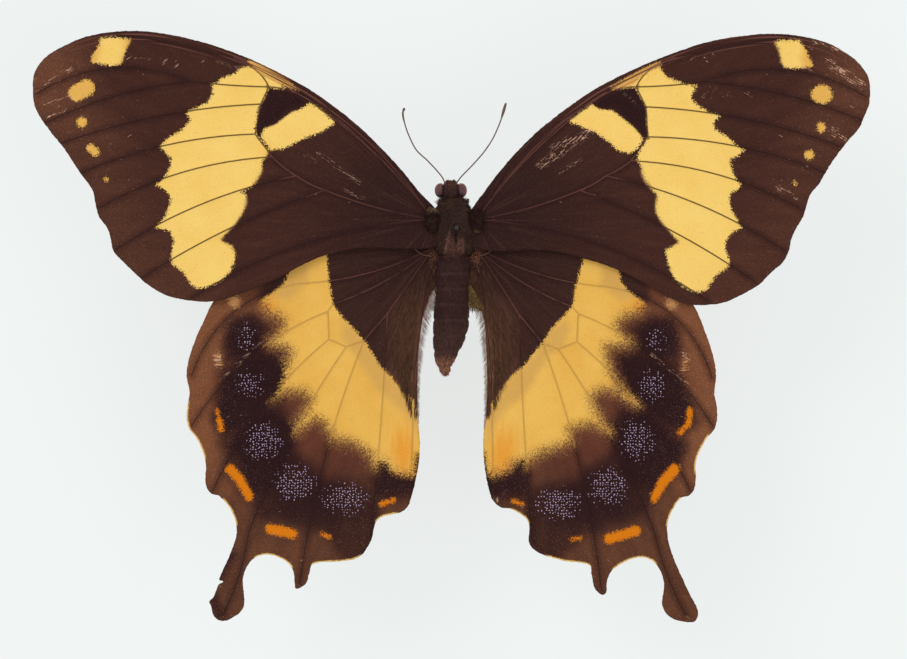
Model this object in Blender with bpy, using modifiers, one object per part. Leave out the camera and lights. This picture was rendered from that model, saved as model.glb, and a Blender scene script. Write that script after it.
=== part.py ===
"""Homerus swallowtail butterfly, set with its wings spread, life size, on a pin and a small block.

Metres, +Z up. The origin is on the underside of the block, straight below the pin. +X is the insect's
right, +Y is ahead of its head and +Z is its back. Sizes are given in millimetres times MM.
"""

import math

import bmesh
import bpy
from mathutils import Matrix, Vector
from mathutils.geometry import delaunay_2d_cdt, interpolate_bezier

MM = 0.001
GAP_MM = 0.3
GAP = GAP_MM * MM

# Heights
BLOCK_HEIGHT = 6.0 * MM
BODY_HEIGHT = 24.0 * MM
WING_LEVEL = 1.0 * MM
LAYER_LIFT = 0.6 * MM

# Block and pin
BLOCK_SIZE = (60.0 * MM, 18.0 * MM)
BLOCK_CENTRE_Y = -6.0 * MM
BLOCK_EDGE = 1.2 * MM
PIN_X = 0.3 * MM
PIN_RADIUS = 0.35 * MM
PIN_HEAD_RADIUS = 0.5 * MM
PIN_TOP = BODY_HEIGHT + 7.1 * MM
PIN_POINT = 0.8 * MM
THORAX_HOLE = 12.0 * MM
PIN_DEPTH = 3.5 * MM

# Wing blades
MEMBRANE = 0.5 * MM
VEIN = 0.8 * MM
VEIN_AT_ROOT = 0.9 * MM
VEIN_HALF_WIDTH = 0.5 * MM
ROOT_X = 3.8 * MM
SPAN = 72.0 * MM
DIHEDRAL = math.radians(4.0)
CAMBER = 1.0 * MM
CHORD_MIDDLE = -8.0 * MM
CHORD_REACH = 62.0 * MM
TAIL_DROP = 0.6 * MM
TAIL_START = -50.0 * MM
TAIL_LENGTH = 20.0 * MM
THICK_ROOT = 20.0
VEIN_STEP = 6.0
RIM_STEP = 5.0
FILL_STEP = 6.5
FILL_CLEAR = 2.0

# Body forms, as stations (y, x, z, half width, half height) in millimetres from the pin on the body's axis
THORAX = [
    (5.9, -0.5, 0.3, 0.0, 0.0),
    (5.2, -0.5, 0.2, 2.0, 1.9),
    (4.0, -0.35, 0.1, 3.0, 2.8),
    (2.2, -0.2, 0.0, 3.7, 3.5),
    (0.0, -0.1, 0.0, 3.8, 3.7),
    (-2.4, -0.1, -0.1, 3.6, 3.6),
    (-4.3, -0.1, -0.2, 3.3, 3.2),
    (-5.2, -0.1, -0.3, 0.0, 0.0),
]
SCUTELLUM = [
    (-1.0, -0.1, 2.3, 0.0, 0.0),
    (-1.8, -0.1, 2.4, 1.5, 1.3),
    (-3.0, -0.1, 2.1, 1.5, 1.4),
    (-4.4, -0.1, 1.6, 0.9, 1.1),
    (-5.0, -0.1, 1.3, 0.0, 0.0),
]
COLLAR = [
    (5.5, -0.5, 0.9, 0.0, 0.0),
    (4.9, -0.5, 1.0, 2.5, 1.5),
    (4.2, -0.45, 1.0, 3.0, 1.9),
    (3.4, -0.4, 1.0, 0.0, 0.0),
]
ABDOMEN = [
    (-4.0, -0.2, -0.3, 0.0, 0.0),
    (-5.2, -0.25, -0.3, 3.1, 2.9),
    (-8.0, -0.4, -0.3, 3.2, 3.0),
    (-11.2, -0.6, -0.35, 3.2, 3.1),
    (-17.1, -0.7, -0.5, 3.35, 3.1),
    (-20.2, -1.1, -0.6, 3.0, 2.75),
    (-22.9, -1.65, -0.7, 2.2, 2.1),
    (-24.8, -1.9, -0.8, 1.4, 1.4),
    (-26.4, -1.7, -0.8, 0.0, 0.0),
]
ABDOMEN_SEGMENTS = 8
BODY_X = -0.1
SEGMENT_GROOVE = 0.035
HEAD_X = -0.76
HEAD = [
    (4.8, -0.6, 0.2, 0.0, 0.0),
    (5.6, -0.65, 0.2, 1.3, 1.4),
    (6.6, HEAD_X, 0.2, 1.75, 1.85),
    (7.6, HEAD_X, 0.1, 1.5, 1.6),
    (8.2, HEAD_X, 0.0, 0.95, 1.1),
    (8.5, HEAD_X, -0.1, 0.0, 0.0),
]
EYE_OUT = 1.92
EYE_CENTRE = (6.8, 0.15)
EYE_RADII = (1.0, 1.3, 1.5)

# Feelers, from the head outwards: (x, y, z) in millimetres, then the club's tip
ANTENNAE = {
    "antenna_left": [
        (-1.6, 7.6, 0.8), (-2.4, 9.3, 1.5), (-4.9, 12.1, 2.0), (-6.9, 14.0, 2.3),
        (-8.1, 16.2, 2.5), (-8.9, 18.3, 2.7), (-9.4, 20.6, 2.8), (-9.1, 21.7, 2.8),
    ],
    "antenna_right": [
        (0.0, 7.6, 0.8), (0.9, 9.0, 1.5), (3.2, 11.4, 2.0), (5.2, 13.7, 2.3),
        (6.8, 16.1, 2.5), (8.1, 19.0, 2.7), (8.7, 20.9, 2.8), (9.2, 22.6, 2.8),
    ],
}
ANTENNA_RADIUS = 0.26
CLUB_RADIUS = 0.42
CLUB_START = 0.84
CLUB_CLOSES = 0.8

# Mouthparts
PALP = [(0.5, 7.4, -1.4), (0.6, 8.5, -1.6), (0.55, 8.85, -0.8), (0.4, 8.8, 0.2)]
PALP_RADII = (0.45, 0.45, 0.38, 0.15)
COIL_CENTRE = (6.9, -3.7)
COIL_RADIUS = 1.65
COIL_PITCH = 0.85
COIL_TURNS = 1.45
COIL_TUBE = 0.25
COIL_STEPS = 16
TONGUE_ROOT = [(7.7, -1.0), (8.25, -2.3), (8.5, -3.1)]

# Legs on the right side: (x, y, z) in millimetres at the body, knee, ankle and tip
LEGS = {
    "leg_front": [(1.0, 3.2, -2.0), (2.4, 5.2, -2.7), (2.3, 1.9, -5.5), (1.9, -1.2, -6.9)],
    "leg_middle": [(1.7, 0.6, -2.6), (3.9, 1.8, -5.2), (3.7, -3.9, -6.2), (3.0, -8.0, -6.6)],
    "leg_hind": [(1.6, -2.2, -2.6), (3.5, -5.2, -4.6), (2.5, -10.6, -5.6), (1.6, -15.4, -5.4)],
}
LEG_RADII = (0.5, 0.4, 0.3, 0.26)

# Shoulder plates over the forewing roots
TEGULA_CENTRE = (3.9, 1.7, 2.3)
TEGULA_RADII = (1.2, 2.1, 0.9)
TEGULA_FLOOR = 2.45

# Wing outlines, in millimetres outwards from the body's middle plane and forwards from the pin
FOREWING_RIGHT = {
    "costa": [
        (2.2, 1.6), (5.9, 7.4), (10.0, 12.5), (14.0, 16.6), (18.0, 20.0), (25.0, 24.9), (31.0, 28.0),
        (38.0, 31.0), (46.0, 33.6), (54.0, 34.8), (60.0, 34.8), (66.0, 33.6), (70.0, 31.7), (73.0, 29.2),
    ],
    "outer margin": [
        (74.5, 26.5), (74.5, 22.5), (73.6, 20.0), (72.7, 18.0), (70.9, 15.9), (67.9, 12.0), (65.5, 8.0),
        (63.9, 6.0), (63.2, 4.0), (62.6, 2.0), (61.4, 0.0), (60.5, -2.0), (60.0, -4.2), (59.0, -6.1),
        (56.8, -8.1), (54.8, -10.1), (51.4, -12.1),
    ],
    "hind margin": [
        (47.6, -13.6), (42.2, -13.8), (38.8, -12.6), (29.7, -7.7), (23.0, -5.4), (17.1, -4.1), (2.2, -3.2),
    ],
}
FOREWING_LEFT = {
    "costa": [
        (2.2, 1.6), (6.5, 6.6), (10.0, 10.9), (14.0, 15.1), (18.0, 18.9), (25.0, 24.2), (31.0, 27.6),
        (38.0, 30.9), (46.0, 33.6), (54.0, 35.2), (60.0, 35.4), (66.0, 34.5), (70.0, 32.9), (73.5, 30.8),
    ],
    "outer margin": [
        (75.6, 28.0), (75.9, 25.0), (75.6, 22.0), (74.5, 19.8), (72.8, 17.4), (70.1, 14.0), (67.5, 10.0),
        (65.2, 6.8), (64.6, 4.0), (64.0, 2.0), (62.5, -0.1), (61.9, -2.2), (61.4, -4.2), (59.9, -5.9),
        (57.7, -8.0), (55.4, -10.1), (51.7, -12.2),
    ],
    "hind margin": [
        (47.5, -13.1), (43.4, -13.2), (39.2, -12.0), (33.1, -9.6), (24.3, -5.2), (16.9, -3.6), (2.2, -3.0),
    ],
}
HINDWING_RIGHT = {
    "front": [(2.4, -1.4), (9.0, 0.2), (18.0, 1.0), (27.0, -0.5), (34.0, -4.5), (39.5, -9.5)],
    "outer margin": [
        (42.9, -13.8), (44.0, -16.0), (45.5, -20.0), (46.7, -24.0), (47.0, -26.6), (46.7, -29.6),
        (47.2, -33.2), (46.8, -36.0), (45.2, -38.0), (43.4, -42.0), (43.3, -46.0), (42.4, -48.0),
        (40.6, -48.7),
    ],
    "tail": [
        (38.7, -51.8), (38.3, -54.6), (39.7, -60.0), (42.4, -66.0), (43.9, -69.2), (43.3, -70.8),
        (40.6, -70.8), (38.2, -69.4), (37.2, -67.0), (37.5, -64.0), (36.7, -61.1),
    ],
    "bay and tooth": [
        (33.3, -59.4), (30.8, -59.9), (28.3, -61.6), (27.3, -65.3), (26.5, -66.1), (25.3, -65.4),
        (24.2, -60.7),
    ],
    "tornus": [
        (18.9, -59.8), (13.7, -57.4), (13.2, -52.9), (10.3, -50.7), (8.0, -50.2), (6.4, -48.2),
    ],
    "inner margin": [
        (5.1, -40.1), (5.7, -28.3), (5.3, -21.1), (4.2, -13.0), (3.9, -7.4), (2.4, -4.4),
    ],
}
HINDWING_LEFT = {
    "front": [(2.4, -1.4), (9.0, 0.2), (18.0, 1.2), (27.0, 0.0), (34.4, -3.8), (40.0, -8.6)],
    "outer margin": [
        (43.5, -13.2), (44.9, -16.0), (46.7, -20.0), (48.0, -24.0), (48.3, -26.6), (47.8, -29.6),
        (48.3, -33.4), (47.9, -36.0), (46.4, -38.0), (44.9, -42.0), (44.9, -46.0), (44.0, -47.7),
        (42.4, -48.3),
    ],
    "tail": [
        (40.2, -51.0), (39.3, -54.4), (40.2, -58.0), (42.7, -64.0), (44.2, -67.3), (44.0, -69.3),
        (42.0, -70.9), (39.3, -70.0), (38.1, -67.6), (38.0, -61.9), (36.9, -60.1),
    ],
    "bay and tooth": [
        (33.6, -58.9), (30.4, -60.1), (29.0, -61.8), (28.6, -64.9), (27.6, -65.1), (26.6, -63.7),
        (25.6, -60.5),
    ],
    "tornus": [
        (20.3, -60.0), (17.2, -59.2), (15.1, -56.2), (13.9, -52.5), (9.4, -51.0), (8.1, -49.3),
    ],
    "inner margin": [
        (6.4, -41.0), (6.5, -33.0), (6.5, -25.6), (6.1, -19.5), (4.4, -12.0), (3.9, -7.4), (2.4, -4.4),
    ],
}

# Where the forewing's veins part, round the cell, and where they reach the margin
FOREWING_NODES_RIGHT = {
    "root": (4.0, 1.6), "radius": (32.6, 25.4), "media 1": (34.4, 21.8), "media 2": (34.7, 16.4),
    "media 3": (31.7, 12.1), "cubitus 1": (27.2, 9.4), "cubitus 2": (22.5, 6.8),
    "subcosta end": (39.6, 30.7), "radius 3 end": (50.0, 33.4), "radius 4 end": (66.0, 32.7),
    "radius 5 end": (73.2, 20.2), "media 1 end": (70.4, 16.0), "media 2 end": (66.4, 10.4),
    "media 3 end": (62.6, 3.2), "cubitus 1 end": (59.4, -4.2), "cubitus 2 end": (54.1, -9.8),
    "anal end": (45.6, -13.2),
}
FOREWING_NODES_LEFT = {
    "root": (4.0, 1.6), "radius": (33.5, 25.4), "media 1": (34.9, 22.3), "media 2": (35.6, 16.9),
    "media 3": (32.9, 12.8), "cubitus 1": (28.6, 9.4), "cubitus 2": (23.4, 6.8),
    "subcosta end": (39.9, 30.8), "radius 3 end": (51.0, 34.0), "radius 4 end": (67.0, 33.4),
    "radius 5 end": (74.2, 20.6), "media 1 end": (71.0, 16.0), "media 2 end": (67.1, 10.6),
    "media 3 end": (64.0, 3.6), "cubitus 1 end": (60.9, -3.8), "cubitus 2 end": (56.2, -8.9),
    "anal end": (47.4, -12.6),
}
# Each vein runs between two nodes and bows to its left by the last number, in millimetres
FOREWING_VEINS = [
    ("root", "radius", 3.0),
    ("root", "subcosta end", 3.7),
    ("radius", "media 1", 0.0),
    ("media 1", "media 2", 0.0),
    ("media 2", "media 3", 0.0),
    ("media 3", "cubitus 1", 0.2),
    ("cubitus 1", "cubitus 2", 0.2),
    ("cubitus 2", "root", 0.6),
    ("radius", "radius 3 end", 0.6),
    ("radius", "radius 4 end", 1.6),
    ("radius", "radius 5 end", 3.4),
    ("media 1", "media 1 end", 1.2),
    ("media 2", "media 2 end", 1.5),
    ("media 3", "media 3 end", 1.9),
    ("cubitus 1", "cubitus 1 end", 1.7),
    ("cubitus 2", "cubitus 2 end", 1.2),
    ("root", "anal end", 3.0),
]
HINDWING_NODES_RIGHT = {
    "root": (3.8, -3.4), "radius": (21.2, -14.2), "media 1": (22.2, -15.4), "media 2": (22.0, -20.5),
    "media 3": (18.6, -21.8), "cubitus 1": (15.8, -20.7), "cubitus 2": (11.6, -15.6),
    "subcosta end": (44.6, -19.0), "radius end": (46.1, -28.2), "media 1 end": (46.2, -35.8),
    "media 2 end": (42.3, -47.2), "tail bend": (36.0, -55.0), "tail tip": (41.6, -69.6),
    "tooth tip": (26.4, -65.2), "cubitus 2 end": (14.4, -56.9), "anal end": (8.7, -49.4),
}
HINDWING_NODES_LEFT = {
    "root": (3.8, -3.4), "radius": (22.0, -13.7), "media 1": (22.9, -15.0), "media 2": (22.7, -20.0),
    "media 3": (19.6, -21.4), "cubitus 1": (16.4, -20.2), "cubitus 2": (12.2, -15.4),
    "subcosta end": (45.2, -18.4), "radius end": (47.2, -28.6), "media 1 end": (47.4, -35.8),
    "media 2 end": (43.6, -47.2), "tail bend": (37.2, -55.0), "tail tip": (41.7, -69.4),
    "tooth tip": (28.0, -64.1), "cubitus 2 end": (15.2, -55.6), "anal end": (9.0, -49.8),
}
HINDWING_VEINS = [
    ("root", "radius", -1.0),
    ("root", "subcosta end", 5.0),
    ("radius", "media 1", 0.0),
    ("media 1", "media 2", 0.0),
    ("media 2", "media 3", 0.0),
    ("media 3", "cubitus 1", 0.0),
    ("cubitus 1", "cubitus 2", 0.0),
    ("cubitus 2", "root", 0.0),
    ("radius", "radius end", 2.6),
    ("media 1", "media 1 end", 1.0),
    ("media 2", "media 2 end", 1.6),
    ("media 3", "tail bend", 1.2),
    ("tail bend", "tail tip", -0.6),
    ("cubitus 1", "tooth tip", 1.4),
    ("cubitus 2", "cubitus 2 end", 0.8),
    ("root", "anal end", -0.6),
]

COLOURS = {
    "wing brown": ((0.055, 0.022, 0.014, 1.0), 0.62, 0.0),
    "body fur": ((0.030, 0.015, 0.010, 1.0), 0.85, 0.0),
    "shoulder": ((0.120, 0.075, 0.035, 1.0), 0.80, 0.0),
    "horn": ((0.045, 0.028, 0.022, 1.0), 0.45, 0.0),
    "eye": ((0.085, 0.030, 0.022, 1.0), 0.18, 0.0),
    "black enamel": ((0.010, 0.010, 0.011, 1.0), 0.15, 0.0),
    "pale block": ((0.780, 0.790, 0.780, 1.0), 0.55, 0.0),
}


def clear_scene():
    """Remove every object of the scene that is open."""
    for thing in list(bpy.data.objects):
        bpy.data.objects.remove(thing, do_unlink=True)


def new_collection(name):
    """A collection linked to the scene."""
    made = bpy.data.collections.new(name)
    bpy.context.scene.collection.children.link(made)
    return made


def material(name):
    """The Principled material of a named colour, made once."""
    found = bpy.data.materials.get(name)
    if found:
        return found
    made = bpy.data.materials.new(name)
    made.use_nodes = True
    colour, roughness, metallic = COLOURS[name]
    surface = made.node_tree.nodes["Principled BSDF"]
    surface.inputs["Base Color"].default_value = colour
    surface.inputs["Roughness"].default_value = roughness
    surface.inputs["Metallic"].default_value = metallic
    made.diffuse_color = colour
    return made


def mesh_object(name, mesh, collection, colour=None):
    """An object of this mesh in the collection, smooth but for its sharp edges."""
    thing = bpy.data.objects.new(name, mesh)
    collection.objects.link(thing)
    if colour:
        mesh.materials.append(material(colour))
        mesh.shade_smooth()
        mesh.set_sharp_from_angle(angle=math.radians(40))
    else:
        thing.hide_render = True
        thing.display_type = "WIRE"
    return thing


def body_point(x, y, z):
    """A place given in millimetres from the pin on the body's axis."""
    return Vector((x * MM, y * MM, BODY_HEIGHT + z * MM))


def station_at(stations, share):
    """The section at this share of a form's length: its centre, half width and half height in millimetres."""
    length = stations[-1][0] - stations[0][0]
    y = stations[0][0] + share * length
    for i, (low, high) in enumerate(zip(stations, stations[1:])):
        last = i == len(stations) - 2
        if (y - low[0]) * (y - high[0]) <= 0 or last:
            break
    before = stations[max(i - 1, 0)]
    after = stations[min(i + 2, len(stations) - 1)]
    part = (y - low[0]) / (high[0] - low[0])

    def smooth(column, power):
        values = [row[column] ** power if power > 1 else row[column] for row in (before, low, high, after)]
        slope_low = (values[2] - values[0]) / (high[0] - before[0])
        slope_high = (values[3] - values[1]) / (after[0] - low[0])
        if i == 0:
            slope_low = (values[2] - values[1]) / (high[0] - low[0])
        if last:
            slope_high = (values[2] - values[1]) / (high[0] - low[0])
        span = high[0] - low[0]
        cube = part * part * (3 - 2 * part)
        start = part * (1 - part) ** 2
        end = part * part * (part - 1)
        found = values[1] * (1 - cube) + values[2] * cube + span * (slope_low * start + slope_high * end)
        return math.sqrt(max(found, 0.0)) if power > 1 else found

    return y, smooth(1, 1), smooth(2, 1), smooth(3, 2), smooth(4, 2)


def rounded_form(name, stations, rings, sides, collection, colour=None, grow=0.0, grooves=0):
    """A sphere drawn out along the stations, larger all round by grow millimetres."""
    shape = bmesh.new()
    bmesh.ops.create_uvsphere(shape, u_segments=sides, v_segments=rings, radius=1.0)
    sign = 1 if stations[-1][0] > stations[0][0] else -1
    for corner in shape.verts:
        share = (1 - corner.co.z) / 2
        y, x, z, half_width, half_height = station_at(stations, share)
        round_by = math.hypot(corner.co.x, corner.co.y)
        across, up = (corner.co.x / round_by, corner.co.y / round_by) if round_by > 1e-6 else (0.0, 0.0)
        groove = 1.0 - SEGMENT_GROOVE * abs(math.cos(math.pi * grooves * share)) ** 6 if grooves else 1.0
        spread = grow * min(1.0, round_by * 2.0)
        corner.co = body_point(
            x + across * (half_width * groove + spread),
            y - sign * corner.co.z * grow,
            z + up * (half_height * groove + spread),
        )
    bmesh.ops.recalc_face_normals(shape, faces=shape.faces)
    mesh = bpy.data.meshes.new(name)
    shape.to_mesh(mesh)
    shape.free()
    return mesh_object(name, mesh, collection, colour)


def ellipsoid(name, centre, radii, rings, sides, collection, colour=None, grow=0.0):
    """A closed ellipsoid about a body point, larger all round by grow millimetres."""
    shape = bmesh.new()
    sizes = [(radius + grow) * MM for radius in radii]
    place = Matrix.Translation(body_point(*centre)) @ Matrix.Diagonal((*sizes, 1.0))
    bmesh.ops.create_uvsphere(shape, u_segments=sides, v_segments=rings, radius=1.0, matrix=place)
    mesh = bpy.data.meshes.new(name)
    shape.to_mesh(mesh)
    shape.free()
    return mesh_object(name, mesh, collection, colour)


def boolean(thing, operation, other):
    """Add a Boolean modifier with the exact solver."""
    cut = thing.modifiers.new(operation.title() + " " + other.name, "BOOLEAN")
    cut.operation = operation
    cut.object = other
    cut.solver = "EXACT"
    return cut


def smooth_line(knots, longest, turn_step, closed=False):
    """Points along a smooth curve through the knots, closer where it turns."""
    count = len(knots)
    points = [Vector(knot) for knot in knots]
    slopes = []
    for i, point in enumerate(points):
        before = points[i - 1] if closed or i > 0 else point
        after = points[(i + 1) % count] if closed or i < count - 1 else point
        slopes.append((after - before).normalized())
    line = []
    for i in range(count if closed else count - 1):
        start, end = points[i], points[(i + 1) % count]
        reach = (end - start).length / 3
        first, second = start + slopes[i] * reach, end - slopes[(i + 1) % count] * reach
        turn = slopes[i].angle(slopes[(i + 1) % count])
        steps = max(1, math.ceil(turn / turn_step), math.ceil((end - start).length / longest))
        line += interpolate_bezier(start, first, second, end, steps + 1)[:-1]
    if not closed:
        line.append(points[-1])
    return line


def tube(name, points, radii, collection, colour, sides=2):
    """A round tube along points in metres, made a closed mesh; radii are in metres, one a point."""
    curve = bpy.data.curves.new(name + " line", "CURVE")
    curve.dimensions = "3D"
    curve.bevel_depth = 1.0
    curve.bevel_resolution = sides
    curve.use_fill_caps = True
    spline = curve.splines.new("POLY")
    spline.points.add(len(points) - 1)
    for place, point, radius in zip(spline.points, points, radii):
        place.co = (*point, 1.0)
        place.radius = radius
    line = bpy.data.objects.new(name + " line", curve)
    collection.objects.link(line)
    bpy.context.view_layer.update()
    graph = bpy.context.evaluated_depsgraph_get()
    mesh = bpy.data.meshes.new_from_object(line.evaluated_get(graph))
    mesh.name = name
    mesh.materials.clear()
    shape = bmesh.new()
    shape.from_mesh(mesh)
    bmesh.ops.remove_doubles(shape, verts=shape.verts, dist=0.001 * MM)
    bmesh.ops.recalc_face_normals(shape, faces=shape.faces)
    shape.to_mesh(mesh)
    shape.free()
    bpy.data.objects.remove(line, do_unlink=True)
    return mesh_object(name, mesh, collection, colour)


def blend_radii(count, radii):
    """Radii in metres for count points, blended from a few given in millimetres."""
    found = []
    for i in range(count):
        place = i / (count - 1) * (len(radii) - 1)
        low = min(int(place), len(radii) - 2)
        found.append((radii[low] + (radii[low + 1] - radii[low]) * (place - low)) * MM)
    return found


def wing_height(x, y, layer):
    """Height of a blade's middle surface; x is outwards, layer is 1 for a forewing and -1 for a hindwing."""
    out = max(x - ROOT_X, 0.0)
    chord = 1.0 - ((y - CHORD_MIDDLE) / CHORD_REACH) ** 2
    rise = math.tan(DIHEDRAL) * out + CAMBER * math.sin(math.pi * min(out / SPAN, 1.0)) * max(chord, 0.0)
    drop = TAIL_DROP * max(0.0, (TAIL_START - y) / TAIL_LENGTH) ** 2
    return BODY_HEIGHT + WING_LEVEL + layer * LAYER_LIFT + rise - drop


def vein_line(start, end, bow):
    """Points of an arc from start to end that bows to its left."""
    start, end = Vector(start), Vector(end)
    along = end - start
    aside = Vector((-along.y, along.x)).normalized() * bow
    steps = max(1, round(along.length / VEIN_STEP))
    shares = [i / steps for i in range(steps + 1)]
    return [start + along * share + aside * 4 * share * (1 - share) for share in shares]


def distance_to_lines(point, lines):
    """Least distance from a point to any of the polylines, in their own units."""
    nearest = math.inf
    for line in lines:
        for start, end in zip(line, line[1:]):
            along = end - start
            share = min(1.0, max(0.0, (point - start).dot(along) / along.length_squared))
            nearest = min(nearest, (point - start - along * share).length)
    return nearest


def inside_outline(point, loop):
    """Whether a point lies inside a closed outline."""
    inside = False
    for a, b in zip(loop, loop[1:] + loop[:1]):
        if (a.y > point.y) != (b.y > point.y):
            if point.x < a.x + (point.y - a.y) * (b.x - a.x) / (b.y - a.y):
                inside = not inside
    return inside


def wing_plan(outline, veins):
    """The blade's flat triangles, in millimetres: an edge loop, ridge lines with their flanks, and a fill."""
    knots = [knot for stretch in outline.values() for knot in stretch]
    loop = smooth_line(knots, longest=RIM_STEP, turn_step=0.30, closed=True)
    flank = VEIN_HALF_WIDTH / MM
    points = list(loop)
    edges = [(i, (i + 1) % len(loop)) for i in range(len(loop))]
    lines = []
    for vein in veins:
        steps = zip(vein, vein[1:])
        asides = [Vector((a.y - b.y, b.x - a.x)).normalized() * flank for a, b in steps]
        asides.append(asides[-1])
        lines.append(vein)
        lines.append([point + aside for point, aside in zip(vein, asides)][1:-1])
        lines.append([point - aside for point, aside in zip(vein, asides)][1:-1])
    for line in lines:
        first = len(points)
        points += line
        edges += [(first + i, first + i + 1) for i in range(len(line) - 1)]
    rim = [loop + loop[:1]]
    rise = FILL_STEP * math.sqrt(3) / 2
    columns = math.ceil(max(point.x for point in loop) / FILL_STEP)
    lowest = math.floor(min(point.y for point in loop) / rise)
    highest = math.ceil(max(point.y for point in loop) / rise)
    for row in range(lowest, highest + 1):
        for column in range(columns + 1):
            spot = Vector((column * FILL_STEP + (row % 2) * FILL_STEP / 2, row * rise))
            if inside_outline(spot, loop) and distance_to_lines(spot, veins + rim) > FILL_CLEAR:
                points.append(spot)
    found = delaunay_2d_cdt(points, edges, [], 1, 1e-4)
    return found[0], found[2]


def wing(name, side, layer, outline, nodes, veins, collection, body_cutters):
    """One wing blade with its veins raised on both faces, cut clear of the body."""
    vein_lines = [vein_line(nodes[start], nodes[end], bow) for start, end, bow in veins]
    flat, faces = wing_plan(outline, vein_lines)
    shape = bmesh.new()
    corners = []
    for point in flat:
        height = wing_height(point.x * MM, point.y * MM, layer)
        corners.append(shape.verts.new((side * point.x * MM, point.y * MM, height)))
    for face in faces:
        shape.faces.new([corners[i] for i in face[::side]])
    mesh = bpy.data.meshes.new(name)
    shape.to_mesh(mesh)
    shape.free()
    blade = mesh_object(name, mesh, collection, "wing brown")
    group = blade.vertex_groups.new(name="thickness")
    for i, point in enumerate(flat):
        apart = distance_to_lines(point, vein_lines)
        ridge = max(0.0, 1.0 - apart / (VEIN_HALF_WIDTH / MM))
        near_root = max(0.0, 1.0 - point.x / THICK_ROOT)
        tallest = VEIN + (VEIN_AT_ROOT - VEIN) * near_root
        group.add([i], (MEMBRANE + (tallest - MEMBRANE) * ridge) / VEIN_AT_ROOT, "REPLACE")
    wall = blade.modifiers.new("Wall", "SOLIDIFY")
    wall.thickness = VEIN_AT_ROOT
    wall.offset = 0.0
    wall.vertex_group = "thickness"
    for cutter in body_cutters:
        boolean(blade, "DIFFERENCE", cutter)
    return blade


def legs(side, side_name, collection, cutter):
    """The three legs of one side, bent back under the body."""
    for name, (body, knee, ankle, tip) in LEGS.items():
        knots = [body_point(BODY_X + side * x, y, z) for x, y, z in (body, knee, ankle, tip)]
        femur = [knots[0].lerp(knots[1], share) for share in (0.0, 0.5, 0.85)]
        shin = [knots[1].lerp(knots[2], share) for share in (0.1, 0.5, 0.9)]
        foot = [knots[2].lerp(knots[3], share) for share in (0.15, 0.6, 1.0)]
        points = femur + shin + foot
        radii = blend_radii(len(points), LEG_RADII)
        leg = tube(name + "_" + side_name, points, radii, collection, "horn")
        boolean(leg, "DIFFERENCE", cutter)


def head_pieces(parts, cutters):
    """Head, eyes, feelers, palps and tongue."""
    head = rounded_form("head", HEAD, 16, 20, parts, "body fur")
    grown_head = rounded_form("head clearance", HEAD, 16, 20, cutters, grow=GAP_MM)
    thorax_clearance = bpy.data.objects["thorax clearance"]
    boolean(head, "DIFFERENCE", thorax_clearance)
    for side, side_name in ((-1, "left"), (1, "right")):
        centre = (HEAD_X + side * EYE_OUT, *EYE_CENTRE)
        eye = ellipsoid("eye_" + side_name, centre, EYE_RADII, 12, 20, parts, "eye")
        eye.data.polygons.foreach_set("use_smooth", [True] * len(eye.data.polygons))
        socket = ellipsoid("socket " + side_name, centre, EYE_RADII, 12, 20, cutters, grow=GAP_MM)
        boolean(head, "DIFFERENCE", socket)

        knots = [body_point(*knot) for knot in ANTENNAE["antenna_" + side_name]]
        line = smooth_line(knots, longest=1.6 * MM, turn_step=0.2)
        radii = []
        for i in range(len(line)):
            club = max(0.0, i / (len(line) - 1) - CLUB_START) / (1 - CLUB_START)
            swelling = (CLUB_RADIUS - ANTENNA_RADIUS) * math.sin(math.pi * club * CLUB_CLOSES)
            radii.append((ANTENNA_RADIUS + swelling) * MM)
        antenna = tube("antenna_" + side_name, line, radii, parts, "horn")
        boolean(antenna, "DIFFERENCE", grown_head)

        knots = [body_point(HEAD_X + side * x, y, z) for x, y, z in PALP]
        line = smooth_line(knots, longest=0.5 * MM, turn_step=0.4)
        palp = tube("palp_" + side_name, line, blend_radii(len(line), PALP_RADII), parts, "body fur")
        boolean(palp, "DIFFERENCE", grown_head)

    points = [body_point(HEAD_X, y, z) for y, z in TONGUE_ROOT]
    for i in range(round(COIL_TURNS * COIL_STEPS) + 1):
        turned = i / COIL_STEPS
        radius = COIL_RADIUS - COIL_PITCH * turned
        angle = -2 * math.pi * turned
        y = COIL_CENTRE[0] + radius * math.cos(angle)
        z = COIL_CENTRE[1] + radius * math.sin(angle)
        points.append(body_point(HEAD_X, y, z))
    tongue = tube("proboscis", points, [COIL_TUBE * MM] * len(points), parts, "horn")
    boolean(tongue, "DIFFERENCE", grown_head)


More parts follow.
